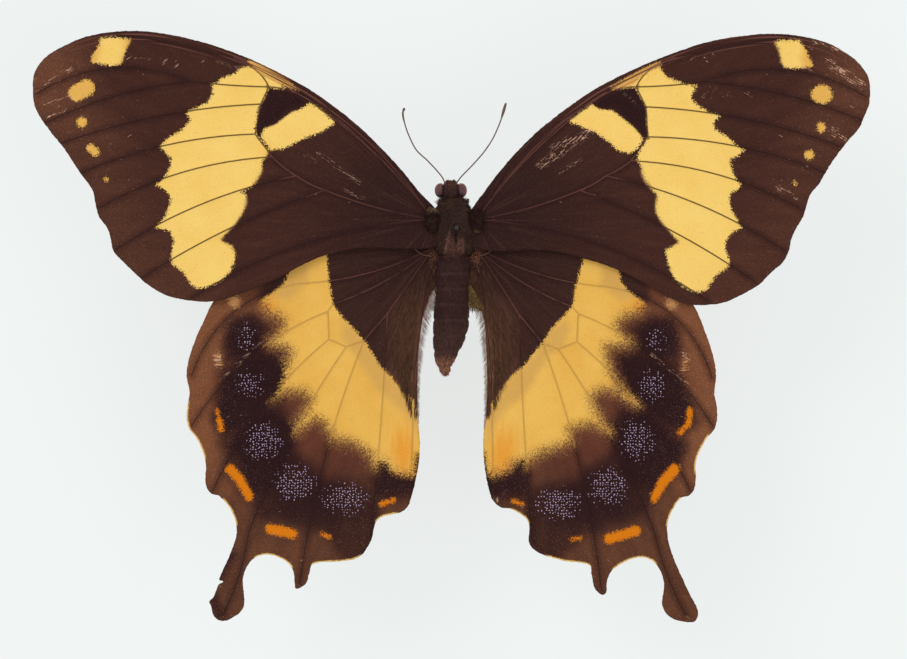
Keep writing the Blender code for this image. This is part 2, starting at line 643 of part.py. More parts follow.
def body_pieces(parts, cutters):
    """Thorax with its hole for the pin, abdomen, legs and shoulder plates."""
    thorax = rounded_form("thorax", THORAX, 20, 24, parts, "body fur")
    for name, stations in (("scutellum", SCUTELLUM), ("collar", COLLAR)):
        boolean(thorax, "UNION", rounded_form(name, stations, 10, 16, cutters))
    clearance = rounded_form("thorax clearance", THORAX, 20, 24, cutters, grow=GAP_MM)
    boolean(clearance, "UNION", rounded_form("collar clearance", COLLAR, 10, 16, cutters, grow=GAP_MM))
    boolean(clearance, "UNION", rounded_form("scutellum clearance", SCUTELLUM, 10, 16, cutters, grow=GAP_MM))

    hole = bmesh.new()
    place = Matrix.Translation((PIN_X, 0.0, BODY_HEIGHT))
    bmesh.ops.create_cone(
        hole, cap_ends=True, segments=16, radius1=PIN_RADIUS + GAP, radius2=PIN_RADIUS + GAP,
        depth=THORAX_HOLE, matrix=place,
    )
    mesh = bpy.data.meshes.new("pin hole")
    hole.to_mesh(mesh)
    hole.free()
    boolean(thorax, "DIFFERENCE", mesh_object("pin hole", mesh, cutters))

    abdomen = rounded_form(
        "abdomen", ABDOMEN, 34, 20, parts, "body fur", grooves=ABDOMEN_SEGMENTS
    )
    boolean(abdomen, "DIFFERENCE", clearance)
    abdomen_clearance = rounded_form("abdomen clearance", ABDOMEN, 20, 20, cutters, grow=GAP_MM)

    for side, side_name in ((-1, "left"), (1, "right")):
        legs(side, side_name, parts, clearance)
        out, y, z = TEGULA_CENTRE
        centre = (BODY_X + side * out, y, z)
        plate = ellipsoid("tegula_" + side_name, centre, TEGULA_RADII, 12, 16, parts, "shoulder")
        shape = bmesh.new()
        shape.from_mesh(plate.data)
        cut = bmesh.ops.bisect_plane(
            shape, geom=shape.verts[:] + shape.edges[:] + shape.faces[:],
            plane_co=body_point(0, 0, TEGULA_FLOOR), plane_no=(0, 0, 1), clear_inner=True,
        )
        rim = [item for item in cut["geom_cut"] if isinstance(item, bmesh.types.BMEdge)]
        bmesh.ops.holes_fill(shape, edges=rim)
        shape.to_mesh(plate.data)
        shape.free()
        boolean(plate, "DIFFERENCE", clearance)
    return [clearance, abdomen_clearance]


def stand(parts, cutters):
    """The pale block and the black pin that carries the body."""
    block = bmesh.new()
    size = Matrix.Diagonal((*BLOCK_SIZE, BLOCK_HEIGHT, 1.0))
    place = Matrix.Translation((0.0, BLOCK_CENTRE_Y, BLOCK_HEIGHT / 2))
    bmesh.ops.create_cube(block, size=1.0, matrix=place @ size)
    mesh = bpy.data.meshes.new("stand_base")
    block.to_mesh(mesh)
    block.free()
    base = mesh_object("stand_base", mesh, parts, "pale block")
    edge = base.modifiers.new("Edge", "BEVEL")
    edge.width = BLOCK_EDGE
    edge.segments = 3
    edge.limit_method = "ANGLE"

    socket = bmesh.new()
    bmesh.ops.create_cone(
        socket, cap_ends=True, segments=16, radius1=PIN_RADIUS + GAP, radius2=PIN_RADIUS + GAP,
        depth=2 * (PIN_DEPTH + GAP), matrix=Matrix.Translation((PIN_X, 0.0, BLOCK_HEIGHT)),
    )
    mesh = bpy.data.meshes.new("pin socket")
    socket.to_mesh(mesh)
    socket.free()
    boolean(base, "DIFFERENCE", mesh_object("pin socket", mesh, cutters))

    foot = BLOCK_HEIGHT - PIN_DEPTH
    arc = [math.radians(angle) for angle in (-65, -40, -15, 10, 35, 60, 80)]
    profile = [(0.0, foot), (PIN_RADIUS / 2, foot), (PIN_RADIUS, foot + PIN_POINT)]
    profile.append((PIN_RADIUS, PIN_TOP - PIN_HEAD_RADIUS))
    for angle in arc:
        out, up = PIN_HEAD_RADIUS * math.cos(angle), PIN_HEAD_RADIUS * math.sin(angle)
        profile.append((out, PIN_TOP + up))
    profile.append((0.0, PIN_TOP + PIN_HEAD_RADIUS))
    profile.reverse()
    shape = bmesh.new()
    corners = [shape.verts.new((radius, 0.0, height)) for radius, height in profile]
    for pair in zip(corners, corners[1:]):
        shape.edges.new(pair)
    mesh = bpy.data.meshes.new("stand_pin")
    shape.to_mesh(mesh)
    shape.free()
    pin = mesh_object("stand_pin", mesh, parts, "black enamel")
    pin.location.x = PIN_X
    turn = pin.modifiers.new("Turn", "SCREW")
    turn.steps = 16
    turn.render_steps = 16
    turn.use_merge_vertices = True
    turn.merge_threshold = 0.00001
    return pin


def main():
    """Build every piece in its own named object."""
    clear_scene()
    parts = new_collection("homerus swallowtail")
    cutters = new_collection("cutters")
    stand(parts, cutters)
    body_cutters = body_pieces(parts, cutters)
    head_pieces(parts, cutters)
    wings = (
        ("forewing_left", -1, 1, FOREWING_LEFT, FOREWING_NODES_LEFT, FOREWING_VEINS),
        ("forewing_right", 1, 1, FOREWING_RIGHT, FOREWING_NODES_RIGHT, FOREWING_VEINS),
        ("hindwing_left", -1, -1, HINDWING_LEFT, HINDWING_NODES_LEFT, HINDWING_VEINS),
        ("hindwing_right", 1, -1, HINDWING_RIGHT, HINDWING_NODES_RIGHT, HINDWING_VEINS),
    )
    for name, side, layer, outline, nodes, veins in wings:
        wing(name, side, layer, outline, nodes, veins, parts, body_cutters)


main()
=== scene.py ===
"""Looks of the homerus swallowtail: wings, furry body, feelers, legs, and the studio round them.

Metres, +Z up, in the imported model's frame: +X is the insect's right, +Y is ahead of its head and the
origin is on the underside of the block, straight below the pin. The tables give places in millimetres from
the pin, the wings' ones outwards and forwards, and markings in pixels of the photograph, which looks
straight down on the insect.
"""

import logging
import math
from dataclasses import dataclass, field
from enum import Enum

import bpy
import numpy as np
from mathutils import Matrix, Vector
from mathutils.geometry import delaunay_2d_cdt, interpolate_bezier


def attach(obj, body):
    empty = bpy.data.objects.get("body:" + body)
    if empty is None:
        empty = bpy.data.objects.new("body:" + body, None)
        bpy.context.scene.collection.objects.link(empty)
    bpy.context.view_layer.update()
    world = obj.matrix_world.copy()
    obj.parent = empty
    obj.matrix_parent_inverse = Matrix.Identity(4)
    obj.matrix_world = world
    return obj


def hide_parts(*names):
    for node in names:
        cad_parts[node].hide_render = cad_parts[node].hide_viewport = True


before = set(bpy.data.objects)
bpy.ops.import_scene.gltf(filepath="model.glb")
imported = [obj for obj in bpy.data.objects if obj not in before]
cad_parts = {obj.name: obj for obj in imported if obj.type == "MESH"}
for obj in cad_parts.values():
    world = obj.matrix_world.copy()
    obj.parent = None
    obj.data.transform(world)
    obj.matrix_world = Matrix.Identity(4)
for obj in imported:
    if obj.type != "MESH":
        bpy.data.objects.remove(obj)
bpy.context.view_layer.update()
LOG = logging.getLogger("swallowtail")

MM = 0.001
PIXEL = 0.18  # millimetres that a pixel of the photograph shows
PIN_PIXEL = np.array((455.0, 228.0))

BODY_HEIGHT = 24.0
WING_LEVEL = 1.0
LAYER_LIFT = 0.6
ROOT_X = 3.8
SPAN = 72.0
DIHEDRAL = math.radians(4.0)
CAMBER = 1.0
CHORD_MIDDLE = -8.0
CHORD_REACH = 62.0
TAIL_DROP = 0.6
TAIL_START = -50.0
TAIL_LENGTH = 20.0
NOWHERE = -30.0  # the depth in millimetres in a marking that a wing hasn't

Thing = bpy.types.Object
Socket = bpy.types.NodeSocket
Material = bpy.types.Material
Colour = tuple[float, float, float, float]
Knots = list[tuple[float, ...]]


class Slot(Enum):
    """The material slots of the dressed pieces."""

    WINGS = "wings"
    BODY = "body"
    SHOULDERS = "shoulders"
    HORN = "horn"
    EYES = "eyes"


class Side(Enum):
    """The insect's two sides, as the sign of X."""

    LEFT = -1
    RIGHT = 1

    @property
    def word(self) -> str:
        """The side's name in piece names."""
        return self.name.lower()


def tone(red: int, green: int, blue: int) -> Colour:
    """A colour as seen in the photograph, made linear.

    Args:
        red: Red from 0 to 255.
        green: Green from 0 to 255.
        blue: Blue from 0 to 255.

    Returns:
        The linear colour with full opacity.
    """
    linear = [((part / 255 + 0.055) / 1.055) ** 2.4 for part in (red, green, blue)]
    return (*linear, 1.0)


class Value:
    """A number that varies over a surface: an output socket that takes Python's operators."""

    def __init__(self, socket: Socket) -> None:
        """Wrap an output socket."""
        self.socket = socket

    def _math(self, operation: str, *terms: "Value | float", clamp: bool = False) -> "Value":
        """Add a Math node.

        Args:
            operation: The node's operation.
            terms: Its inputs, as values or numbers.
            clamp: Whether the result is held from 0 to 1.

        Returns:
            The node's result.
        """
        tree = self.socket.id_data
        node = tree.nodes.new("ShaderNodeMath")
        node.operation = operation
        node.use_clamp = clamp
        for slot, term in zip(node.inputs, terms):
            if isinstance(term, Value):
                tree.links.new(term.socket, slot)
            else:
                slot.default_value = term
        return Value(node.outputs[0])

    def __add__(self, other: "Value | float") -> "Value":
        """Sum."""
        return self._math("ADD", self, other)

    def __sub__(self, other: "Value | float") -> "Value":
        """Difference."""
        return self._math("SUBTRACT", self, other)

    def __rsub__(self, other: float) -> "Value":
        """Difference from a number."""
        return self._math("SUBTRACT", other, self)

    def __mul__(self, other: "Value | float") -> "Value":
        """Product."""
        return self._math("MULTIPLY", self, other)

    def __truediv__(self, other: "Value | float") -> "Value":
        """Quotient."""
        return self._math("DIVIDE", self, other)

    __radd__ = __add__
    __rmul__ = __mul__

    def held(self) -> "Value":
        """The value held from 0 to 1."""
        return self._math("ADD", self, 0.0, clamp=True)

    def swing(self, reach: float) -> "Value":
        """How far a noise is off its middle, times a reach."""
        return (self - 0.5) * reach

    def most(self, other: "Value | float") -> "Value":
        """The larger of two values."""
        return self._math("MAXIMUM", self, other)

    def sine(self) -> "Value":
        """The sine of the value."""
        return self._math("SINE", self)

    def step(self, low: float, high: float) -> "Value":
        """A smooth step.

        Args:
            low: Where the step is still 0.
            high: Where it has become 1; it may be below low, for a step down.

        Returns:
            The step's height.
        """
        tree = self.socket.id_data
        node = tree.nodes.new("ShaderNodeMapRange")
        node.interpolation_type = "SMOOTHSTEP"
        up = high > low
        ends = (low, high, 0.0, 1.0) if up else (high, low, 1.0, 0.0)
        for name, end in zip(("From Min", "From Max", "To Min", "To Max"), ends):
            node.inputs[name].default_value = end
        tree.links.new(self.socket, node.inputs["Value"])
        return Value(node.outputs["Result"])


class Paint:
    """A material in the making: a Principled shader and short ways to add nodes before it."""

    def __init__(self, name: str, **constants: float) -> None:
        """Start a material.

        Args:
            name: The material's name.
            constants: Numbers for the shader's sockets, with _ for the spaces of their names.
        """
        self.material = bpy.data.materials.new(name)
        self.material.use_nodes = True
        self.tree = self.material.node_tree
        self.surface = self.tree.nodes["Principled BSDF"]
        for words, number in constants.items():
            self.surface.inputs[words.replace("_", " ").title().replace("Ior", "IOR")].default_value = number
        self.place = self.node("ShaderNodeTexCoord").outputs["Object"]

    def node(self, kind: str, settings: dict | None = None, sockets: dict | None = None) -> bpy.types.Node:
        """Add a node.

        Args:
            kind: The node's type.
            settings: Its own properties, set first.
            sockets: Values or links of its inputs, by name or number.

        Returns:
            The node.
        """
        made = self.tree.nodes.new(kind)
        for name, setting in (settings or {}).items():
            setattr(made, name, setting)
        for name, value in (sockets or {}).items():
            source = value.socket if isinstance(value, Value) else value
            if isinstance(source, Socket):
                self.tree.links.new(source, made.inputs[name])
            else:
                made.inputs[name].default_value = source
        return made

    def attribute(self, name: str) -> Value:
        """A number kept on the mesh."""
        return Value(self.node("ShaderNodeAttribute", {"attribute_name": name}).outputs["Fac"])

    def axis(self, name: str) -> Value:
        """One coordinate of the place in the object, in millimetres."""
        return Value(self.node("ShaderNodeSeparateXYZ", sockets={"Vector": self.place}).outputs[name]) / MM

    def vector(self, x: Value | float, y: Value | float, z: Value | float = 0.0) -> Socket:
        """A vector from three values."""
        return self.node("ShaderNodeCombineXYZ", sockets={"X": x, "Y": y, "Z": z}).outputs["Vector"]

    def noise(self, size: float, detail: float = 2.0, place: Socket | None = None) -> Value:
        """Cloudy noise about 0.5.

        Args:
            size: The size of its blotches, in the place's units.
            detail: How many finer layers it has.
            place: The vector that it follows, or the place in the object.

        Returns:
            The noise.
        """
        sockets = {"Vector": place or self.place, "Scale": 1 / size, "Detail": detail}
        return Value(self.node("ShaderNodeTexNoise", sockets=sockets).outputs["Fac"])

    def cells(self, size: float, random: float, flat: bool = True) -> tuple[Value, Value, Value]:
        """A Voronoi pattern of cells.

        Args:
            size: The distance from cell to cell, in metres.
            random: How uneven the cells are.
            flat: Whether it is the same at every height.

        Returns:
            The distance from a cell's middle in cell sizes, and two random numbers of the cell.
        """
        settings = {"voronoi_dimensions": "2D" if flat else "3D"}
        sockets = {"Vector": self.place, "Scale": 1 / size, "Randomness": random}
        pattern = self.node("ShaderNodeTexVoronoi", settings, sockets)
        drawn = self.node("ShaderNodeSeparateColor", sockets={0: pattern.outputs["Color"]})
        return Value(pattern.outputs["Distance"]), Value(drawn.outputs[0]), Value(drawn.outputs[1])

    def mix(self, factor: Value | float, first: object, second: object) -> Socket:
        """Blend two colours.

        Args:
            factor: The second colour's share.
            first: A colour or a colour's socket.
            second: A colour or a colour's socket.

        Returns:
            The blended colour's socket.
        """
        settings = {"data_type": "RGBA", "clamp_factor": True}
        return self.node("ShaderNodeMix", settings, {0: factor, 6: first, 7: second}).outputs[2]

    def shade(self, colour: Socket, level: Value) -> Socket:
        """Multiply a colour by a value."""
        settings = {"operation": "SCALE"}
        return self.node("ShaderNodeVectorMath", settings, {0: colour, "Scale": level}).outputs[0]

    def finish(
        self, colour: Socket, roughness: Value | None = None, relief: Value | None = None,
        depth: float = 0.05 * MM,
    ) -> Material:
        """Link the shader's varying inputs.

        Args:
            colour: The base colour.
            roughness: The roughness where it varies.
            relief: The height of the bump, from 0 to 1.
            depth: How high the bump's 1 stands, in metres.

        Returns:
            The material.
        """
        self.tree.links.new(colour, self.surface.inputs["Base Color"])
        if roughness is not None:
            self.tree.links.new(roughness.socket, self.surface.inputs["Roughness"])
        if relief is not None:
            bump = self.node("ShaderNodeBump", sockets={"Distance": depth, "Height": relief})
            self.tree.links.new(bump.outputs["Normal"], self.surface.inputs["Normal"])
        return self.material


def select_only(*things: Thing) -> None:
    """Leave only these objects selected, the first one active."""
    bpy.ops.object.select_all(action="DESELECT")
    for thing in things:
        thing.select_set(True)
    bpy.context.view_layer.objects.active = things[0]


def linked(name: str, data: bpy.types.ID) -> Thing:
    """A new object of the scene with this data."""
    made = bpy.data.objects.new(name, data)
    bpy.context.scene.collection.objects.link(made)
    return made


def mesh_piece(name: str, corners: np.ndarray, faces: list) -> Thing:
    """A mesh object with its place in its mesh.

    Args:
        name: The piece's name.
        corners: Its points in metres, one a row.
        faces: Its faces, each as a list of point numbers.

    Returns:
        The object, linked to the scene.
    """
    mesh = bpy.data.meshes.new(name)
    mesh.from_pydata(corners.tolist(), [], faces)
    return linked(name, mesh)


def apply_modifier(thing: Thing, kind: str, **settings: object) -> None:
    """Add a modifier with these settings and apply it."""
    made = thing.modifiers.new(kind.title(), kind)
    for name, setting in settings.items():
        setattr(made, name, setting)
    select_only(thing)
    bpy.ops.object.modifier_apply(modifier=made.name)


def keep_numbers(thing: Thing, name: str, numbers: np.ndarray, domain: str = "POINT") -> None:
    """Keep one number for each point or face on a mesh, for its material."""
    kept = thing.data.attributes.new(name, "FLOAT", domain)
    kept.data.foreach_set("value", np.asarray(numbers, np.float32))


def keep_colours(thing: Thing, name: str, colours: np.ndarray) -> None:
    """Keep one linear colour for each point on a mesh, for its material."""
    kept = thing.data.attributes.new(name, "FLOAT_COLOR", "POINT")
    kept.data.foreach_set("color", np.asarray(colours, np.float32).ravel())


def read_rows(items: bpy.types.bpy_prop_collection, name: str, width: int, kind: type = float) -> np.ndarray:
    """Read a property of each item of a mesh.

    Args:
        items: The mesh's points, faces or corners.
        name: The property.
        width: How many numbers it has.
        kind: Whether these are float or int.

    Returns:
        The numbers, a row an item.
    """
    found = np.zeros(len(items) * width, kind)
    items.foreach_get(name, found)
    return found.reshape(-1, width)


def read_corners(thing: Thing) -> np.ndarray:
    """A mesh's points in metres, one a row."""
    return read_rows(thing.data.vertices, "co", 3)


def move_corners(thing: Thing, corners: np.ndarray) -> None:
    """Move a mesh's points to these places in metres."""
    thing.data.vertices.foreach_set("co", corners.ravel())


def hand_over(thing: Thing, slot: Slot, material: Material, *nodes: str) -> None:
    """Give a finished piece its material and body, and hide the CAD nodes that it stands for.

    Args:
        thing: The piece.
        slot: The slot that it takes its finish from; not used.
        material: Its material.
        nodes: The CAD nodes that it stands for.
    """
    thing.data.materials.clear()
    thing.data.materials.append(material)
    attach(thing, "root")
    if nodes:
        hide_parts(*nodes)
    thing.data.calc_loop_triangles()
    LOG.info("%s: %d triangles", thing.name, len(thing.data.loop_triangles))


def smooth_line(knots: Knots, spacing: float, closed: bool = False) -> list[Vector]:
    """Points along a smooth curve through knots.

    Args:
        knots: The points that it goes through.
        spacing: The longest step between its points.
        closed: Whether it comes back to its start.

    Returns:
        The points.
    """
    points = [Vector(knot) for knot in knots]
    count = len(points)
    slopes = []
    for i, point in enumerate(points):
        before = points[i - 1] if closed or i > 0 else point
        after = points[(i + 1) % count] if closed or i < count - 1 else point
        slopes.append((after - before).normalized())
    line = []
    for i in range(count if closed else count - 1):
        start, end = points[i], points[(i + 1) % count]
        reach = (end - start).length / 3
        first, second = start + slopes[i] * reach, end - slopes[(i + 1) % count] * reach
        steps = max(1, math.ceil((end - start).length / spacing))
        line += interpolate_bezier(start, first, second, end, steps + 1)[:-1]
    if not closed:
        line.append(points[-1])
    return line


def smooth_rows(knots: Knots, spacing: float, closed: bool = False) -> np.ndarray:
    """The points of smooth_line in an array, one a row."""
    return np.array([tuple(point) for point in smooth_line(knots, spacing, closed)])


def ramp(values: np.ndarray, low: float, high: float) -> np.ndarray:
    """A straight rise from 0 at low to 1 at high, which may be below low."""
    return np.clip((values - low) / (high - low), 0, 1)


def distance_to_line(points: np.ndarray, line: np.ndarray) -> np.ndarray:
    """Least distance from each point to an open line.

    Args:
        points: The points, one a row.
        line: The line's corners, one a row.

    Returns:
        A distance for each point.
    """
    nearest = np.full(len(points), np.inf)
    for start, end in zip(line[:-1], line[1:]):
        along = end - start
        share = np.clip((points - start) @ along / max(along @ along, 1e-12), 0.0, 1.0)
        apart = points - start - share[:, None] * along
        nearest = np.minimum(nearest, np.einsum("ij,ij->i", apart, apart))
    return np.sqrt(nearest)


def distance_to_loop(points: np.ndarray, loop: np.ndarray) -> np.ndarray:
    """Least distance from each point to a closed outline."""
    return distance_to_line(points, np.vstack([loop, loop[:1]]))


def inside_loop(points: np.ndarray, loop: np.ndarray) -> np.ndarray:
    """Whether each point lies inside a closed outline."""
    inside = np.zeros(len(points), bool)
    for start, end in zip(loop, np.roll(loop, -1, axis=0)):
        if start[1] == end[1]:
            continue
        spans = (start[1] > points[:, 1]) != (end[1] > points[:, 1])
        crossing = start[0] + (points[:, 1] - start[1]) * (end[0] - start[0]) / (end[1] - start[1])
        inside ^= spans & (points[:, 0] < crossing)
    return inside


@dataclass(frozen=True)
class Patch:
    """A marking with a drawn outline, in pixels of the photograph."""

    corners: Knots

    def depth(self, pixels: np.ndarray) -> np.ndarray:
        """How far each point is inside the marking in millimetres, below 0 outside it."""
        loop = np.array(self.corners, float)
        apart = distance_to_loop(pixels, loop)
        return np.where(inside_loop(pixels, loop), apart, -apart) * PIXEL


@dataclass(frozen=True)
class Oval:
    """An oval marking, in pixels of the photograph."""

    x: float
    y: float
    half_width: float
    half_height: float

    def depth(self, pixels: np.ndarray) -> np.ndarray:
        """How far each point is inside the marking in millimetres, below 0 outside it."""
        x, y = (pixels - (self.x, self.y)).T
        reach = np.hypot(x / self.half_width, y / self.half_height)
        return (1 - reach) * min(self.half_width, self.half_height) * PIXEL


@dataclass(frozen=True)
class Stroke:
    """A rounded bar, in pixels of the photograph."""

    start: tuple[float, float]
    end: tuple[float, float]
    radius: float

    def depth(self, pixels: np.ndarray) -> np.ndarray:
        """How far each point is inside the marking in millimetres, below 0 outside it."""
        line = np.array([self.start, self.end], float)
        return (self.radius - distance_to_line(pixels, line)) * PIXEL


Shape = Patch | Oval | Stroke


@dataclass(frozen=True)
class Marks:
    """The markings of one wing, each kind as its shapes."""

    yellow: tuple[Shape, ...]
    dusk: tuple[Shape, ...] = ()
    deep: tuple[Shape, ...] = ()
    lilac: tuple[Shape, ...] = ()
    rust: tuple[Shape, ...] = ()
    ochre: tuple[Shape, ...] = ()
    dull: tuple[Shape, ...] = ()
    gold: tuple[Shape, ...] = ()
    rubbed: tuple[Shape, ...] = ()
    fringe: tuple[Shape, ...] = ()
    murk: tuple[Shape, ...] = ()

    def depths(self, pixels: np.ndarray) -> dict[str, np.ndarray]:
        """The depth of each point in each kind of marking, in millimetres."""
        found = {}
        for kind, shapes in vars(self).items():
            depth = np.full(len(pixels), NOWHERE)
            for shape in shapes:
                depth = np.maximum(depth, shape.depth(pixels))
            found[kind] = depth
        return found


def wing_height(points: np.ndarray, layer: int) -> np.ndarray:
    """Height of a wing's middle surface in millimetres, as in the CAD model.

    Args:
        points: Points outwards and forwards of the pin in millimetres.
        layer: 1 for a forewing and -1 for a hindwing.

    Returns:
        A height for each point.
    """
    out = np.maximum(points[:, 0] - ROOT_X, 0.0)
    chord = np.maximum(1.0 - ((points[:, 1] - CHORD_MIDDLE) / CHORD_REACH) ** 2, 0.0)
    rise = math.tan(DIHEDRAL) * out + CAMBER * np.sin(np.pi * np.minimum(out / SPAN, 1.0)) * chord
    drop = TAIL_DROP * np.maximum(0.0, (TAIL_START - points[:, 1]) / TAIL_LENGTH) ** 2
    return BODY_HEIGHT + WING_LEVEL + layer * LAYER_LIFT + rise - drop


@dataclass
class Wing:
    """One wing: a thin blade with raised veins, shallow pleats between them and its markings."""

    name: str
    side: Side
    layer: int
    outline: dict[str, Knots]
    nodes: dict[str, tuple[float, float]]
    veins: list[tuple[str, str, float]]
    cell_veins: int
    marks: Marks
    membrane: float = 0.16
    vein_ridge: float = 0.22
    vein_half_width: float = 0.24
    rim_step: float = 0.42
    vein_step: float = 0.9
    fill_step: float = 0.46
    fill_gap: float = 0.36
    pleat: float = 0.16
    pleat_reach: float = 1.6
    pleat_margin: float = 2.0
    ragged: float = 0.025
    vein_lines: list[np.ndarray] = field(default_factory=list)

    def rim(self, spacing: float) -> np.ndarray:
        """The whole outline in millimetres, one point a row."""
        knots = [knot for stretch in self.outline.values() for knot in stretch]
        return smooth_rows(knots, spacing, closed=True)

    def vein_line(self, start: str, end: str, bow: float) -> np.ndarray:
        """Points of an arc that bows to its left.

        Args:
            start: The node where the vein starts.
            end: The node where it ends.
            bow: How far it bows at its middle, in millimetres.

        Returns:
            The points, one a row.
        """
        first = np.array(self.nodes[start])
        along = self.nodes[end] - first
        length = np.hypot(*along)
        aside = np.array((-along[1], along[0])) / length * bow
        share = np.linspace(0.0, 1.0, max(2, round(length / self.vein_step)))[:, None]
        return first + along * share + aside * 4 * share * (1 - share)

    def plan(self) -> tuple[np.ndarray, list]:
        """The blade's flat triangles.

        Primitives and their operators can't follow this outline with veins inside it, so the triangles
        come from a Delaunay fill of the outline, the vein lines with their flanks, and an even grid.

        Returns:
            The points in millimetres, one a row, and the faces.
        """
        loop = self.rim(self.rim_step)
        random = np.random.default_rng(len(self.name) + self.side.value)
        loop += random.normal(0.0, self.ragged, loop.shape)
        self.vein_lines = [self.vein_line(*vein) for vein in self.veins]
        lines = []
        for vein in self.vein_lines:
            along = np.diff(vein, axis=0)
            aside = np.column_stack([-along[:, 1], along[:, 0]]) / np.hypot(*along.T)[:, None]
            aside = np.vstack([aside, aside[-1:]]) * self.vein_half_width
            for line in (vein, (vein + aside)[1:-1], (vein - aside)[1:-1]):
                within = np.flatnonzero(inside_loop(line, loop))
                breaks = np.flatnonzero(np.diff(within) > 1) + 1
                lines += [line[run] for run in np.split(within, breaks) if len(run)]
        low, high = loop.min(0), loop.max(0)
        rows = np.arange(low[1], high[1], self.fill_step * math.sqrt(3) / 2)
        across, up = np.meshgrid(np.arange(low[0], high[0], self.fill_step), rows)
        across[1::2] += self.fill_step / 2
        grid = np.column_stack([across.ravel(), up.ravel()])
        grid = grid[inside_loop(grid, loop)]
        apart = self.to_veins(grid)
        flanks = np.abs(apart - self.vein_half_width)
        free = np.min([distance_to_loop(grid, loop), apart, flanks], axis=0)
        grid = grid[free > self.fill_step * self.fill_gap]
        edges = [(i, (i + 1) % len(loop)) for i in range(len(loop))]
        first = len(loop)
        for line in lines:
            edges += [(first + i, first + i + 1) for i in range(len(line) - 1)]
            first += len(line)
        flat = [Vector(point) for point in np.vstack([loop, *lines, grid])]
        filled = delaunay_2d_cdt(flat, edges, [], 1, 1e-4)
        return np.array([tuple(point) for point in filled[0]]), filled[2]

    def to_veins(self, points: np.ndarray) -> np.ndarray:
        """Least distance from each point to a vein in millimetres, on every third point of a long vein."""
        nearest = np.full(len(points), np.inf)
        for vein in self.vein_lines:
            nearest = np.minimum(nearest, distance_to_line(points, vein[::3] if len(vein) > 9 else vein))
            nearest = np.minimum(nearest, distance_to_line(points, vein[-3:]))
        return nearest

    def numbers(self, flat: np.ndarray, apart: np.ndarray, edge: np.ndarray) -> dict[str, np.ndarray]:
        """What the wing's finish reads at each point.

        Args:
            flat: The points in millimetres, one a row.
            apart: Their distances from the veins.
            edge: Their distances from the rim.

        Returns:
            A number for each point under the name of each attribute.
        """
        found = self.marks.depths(PIN_PIXEL + flat * (self.side.value, -1) / PIXEL)
        reach = flat - np.array(self.nodes["root"])
        cell = [distance_to_line(flat, line[::2]) for line in self.vein_lines[:self.cell_veins]]
        found |= {
            "vein": apart, "edge": edge, "out": flat[:, 0], "cell": np.min(cell, axis=0),
            "along": np.hypot(*reach.T), "around": np.arctan2(reach[:, 1], reach[:, 0]),
        }
        stretches = list(self.outline)
        for name, stretch in (("front", stretches[0]), ("rim", "outer margin"), ("inner", stretches[-1])):
            found[name] = distance_to_line(flat, smooth_rows(self.outline[stretch], 1.0))
        return found

    def build(self, material: Material) -> None:
        """Build the wing and hand it over."""
        flat, faces = self.plan()
        apart = self.to_veins(flat)
        edge = distance_to_loop(flat, self.rim(1.0))
        height = wing_height(flat, self.layer)
        valley = np.sin(ramp(apart, 0.0, self.pleat_reach) * np.pi / 2)
        height -= self.pleat * valley * ramp(edge, 0.0, self.pleat_margin)
        side, name = self.side.value, f"{self.name}_{self.side.word}"
        corners = np.column_stack([side * flat[:, 0], flat[:, 1], height]) * MM
        wing = mesh_piece(name, corners, [face[::side] for face in faces])
        for kind, numbers in self.numbers(flat, apart, edge).items():
            keep_numbers(wing, kind, numbers)
        group = wing.vertex_groups.new(name="thickness")
        tallest = self.membrane + self.vein_ridge
        ridge = ramp(apart, self.vein_half_width, 0.0)
        for i, share in enumerate((self.membrane + self.vein_ridge * ridge) / tallest):
            group.add([i], share, "REPLACE")
        apply_modifier(wing, "SOLIDIFY", thickness=tallest * MM, offset=0.0, vertex_group="thickness")
        wing.vertex_groups.clear()
        wing.data.shade_smooth()
        keep_numbers(wing, "under", read_rows(wing.data.polygons, "normal", 3)[:, 2] < -0.2, "FACE")
        hand_over(wing, Slot.WINGS, material, name)


@dataclass(frozen=True)
class Scales:
    """What all parts of a wing's finish read.

    The noises grain, speck and cloud have the size of a few scales, of one scale and of broad clouds. The
    number lone is drawn for each scale, about 0. The places along and around count from the wing's root.
    """

    paint: Paint
    grain: Value
    speck: Value
    cloud: Value
    lone: Value
    along: Value
    around: Value


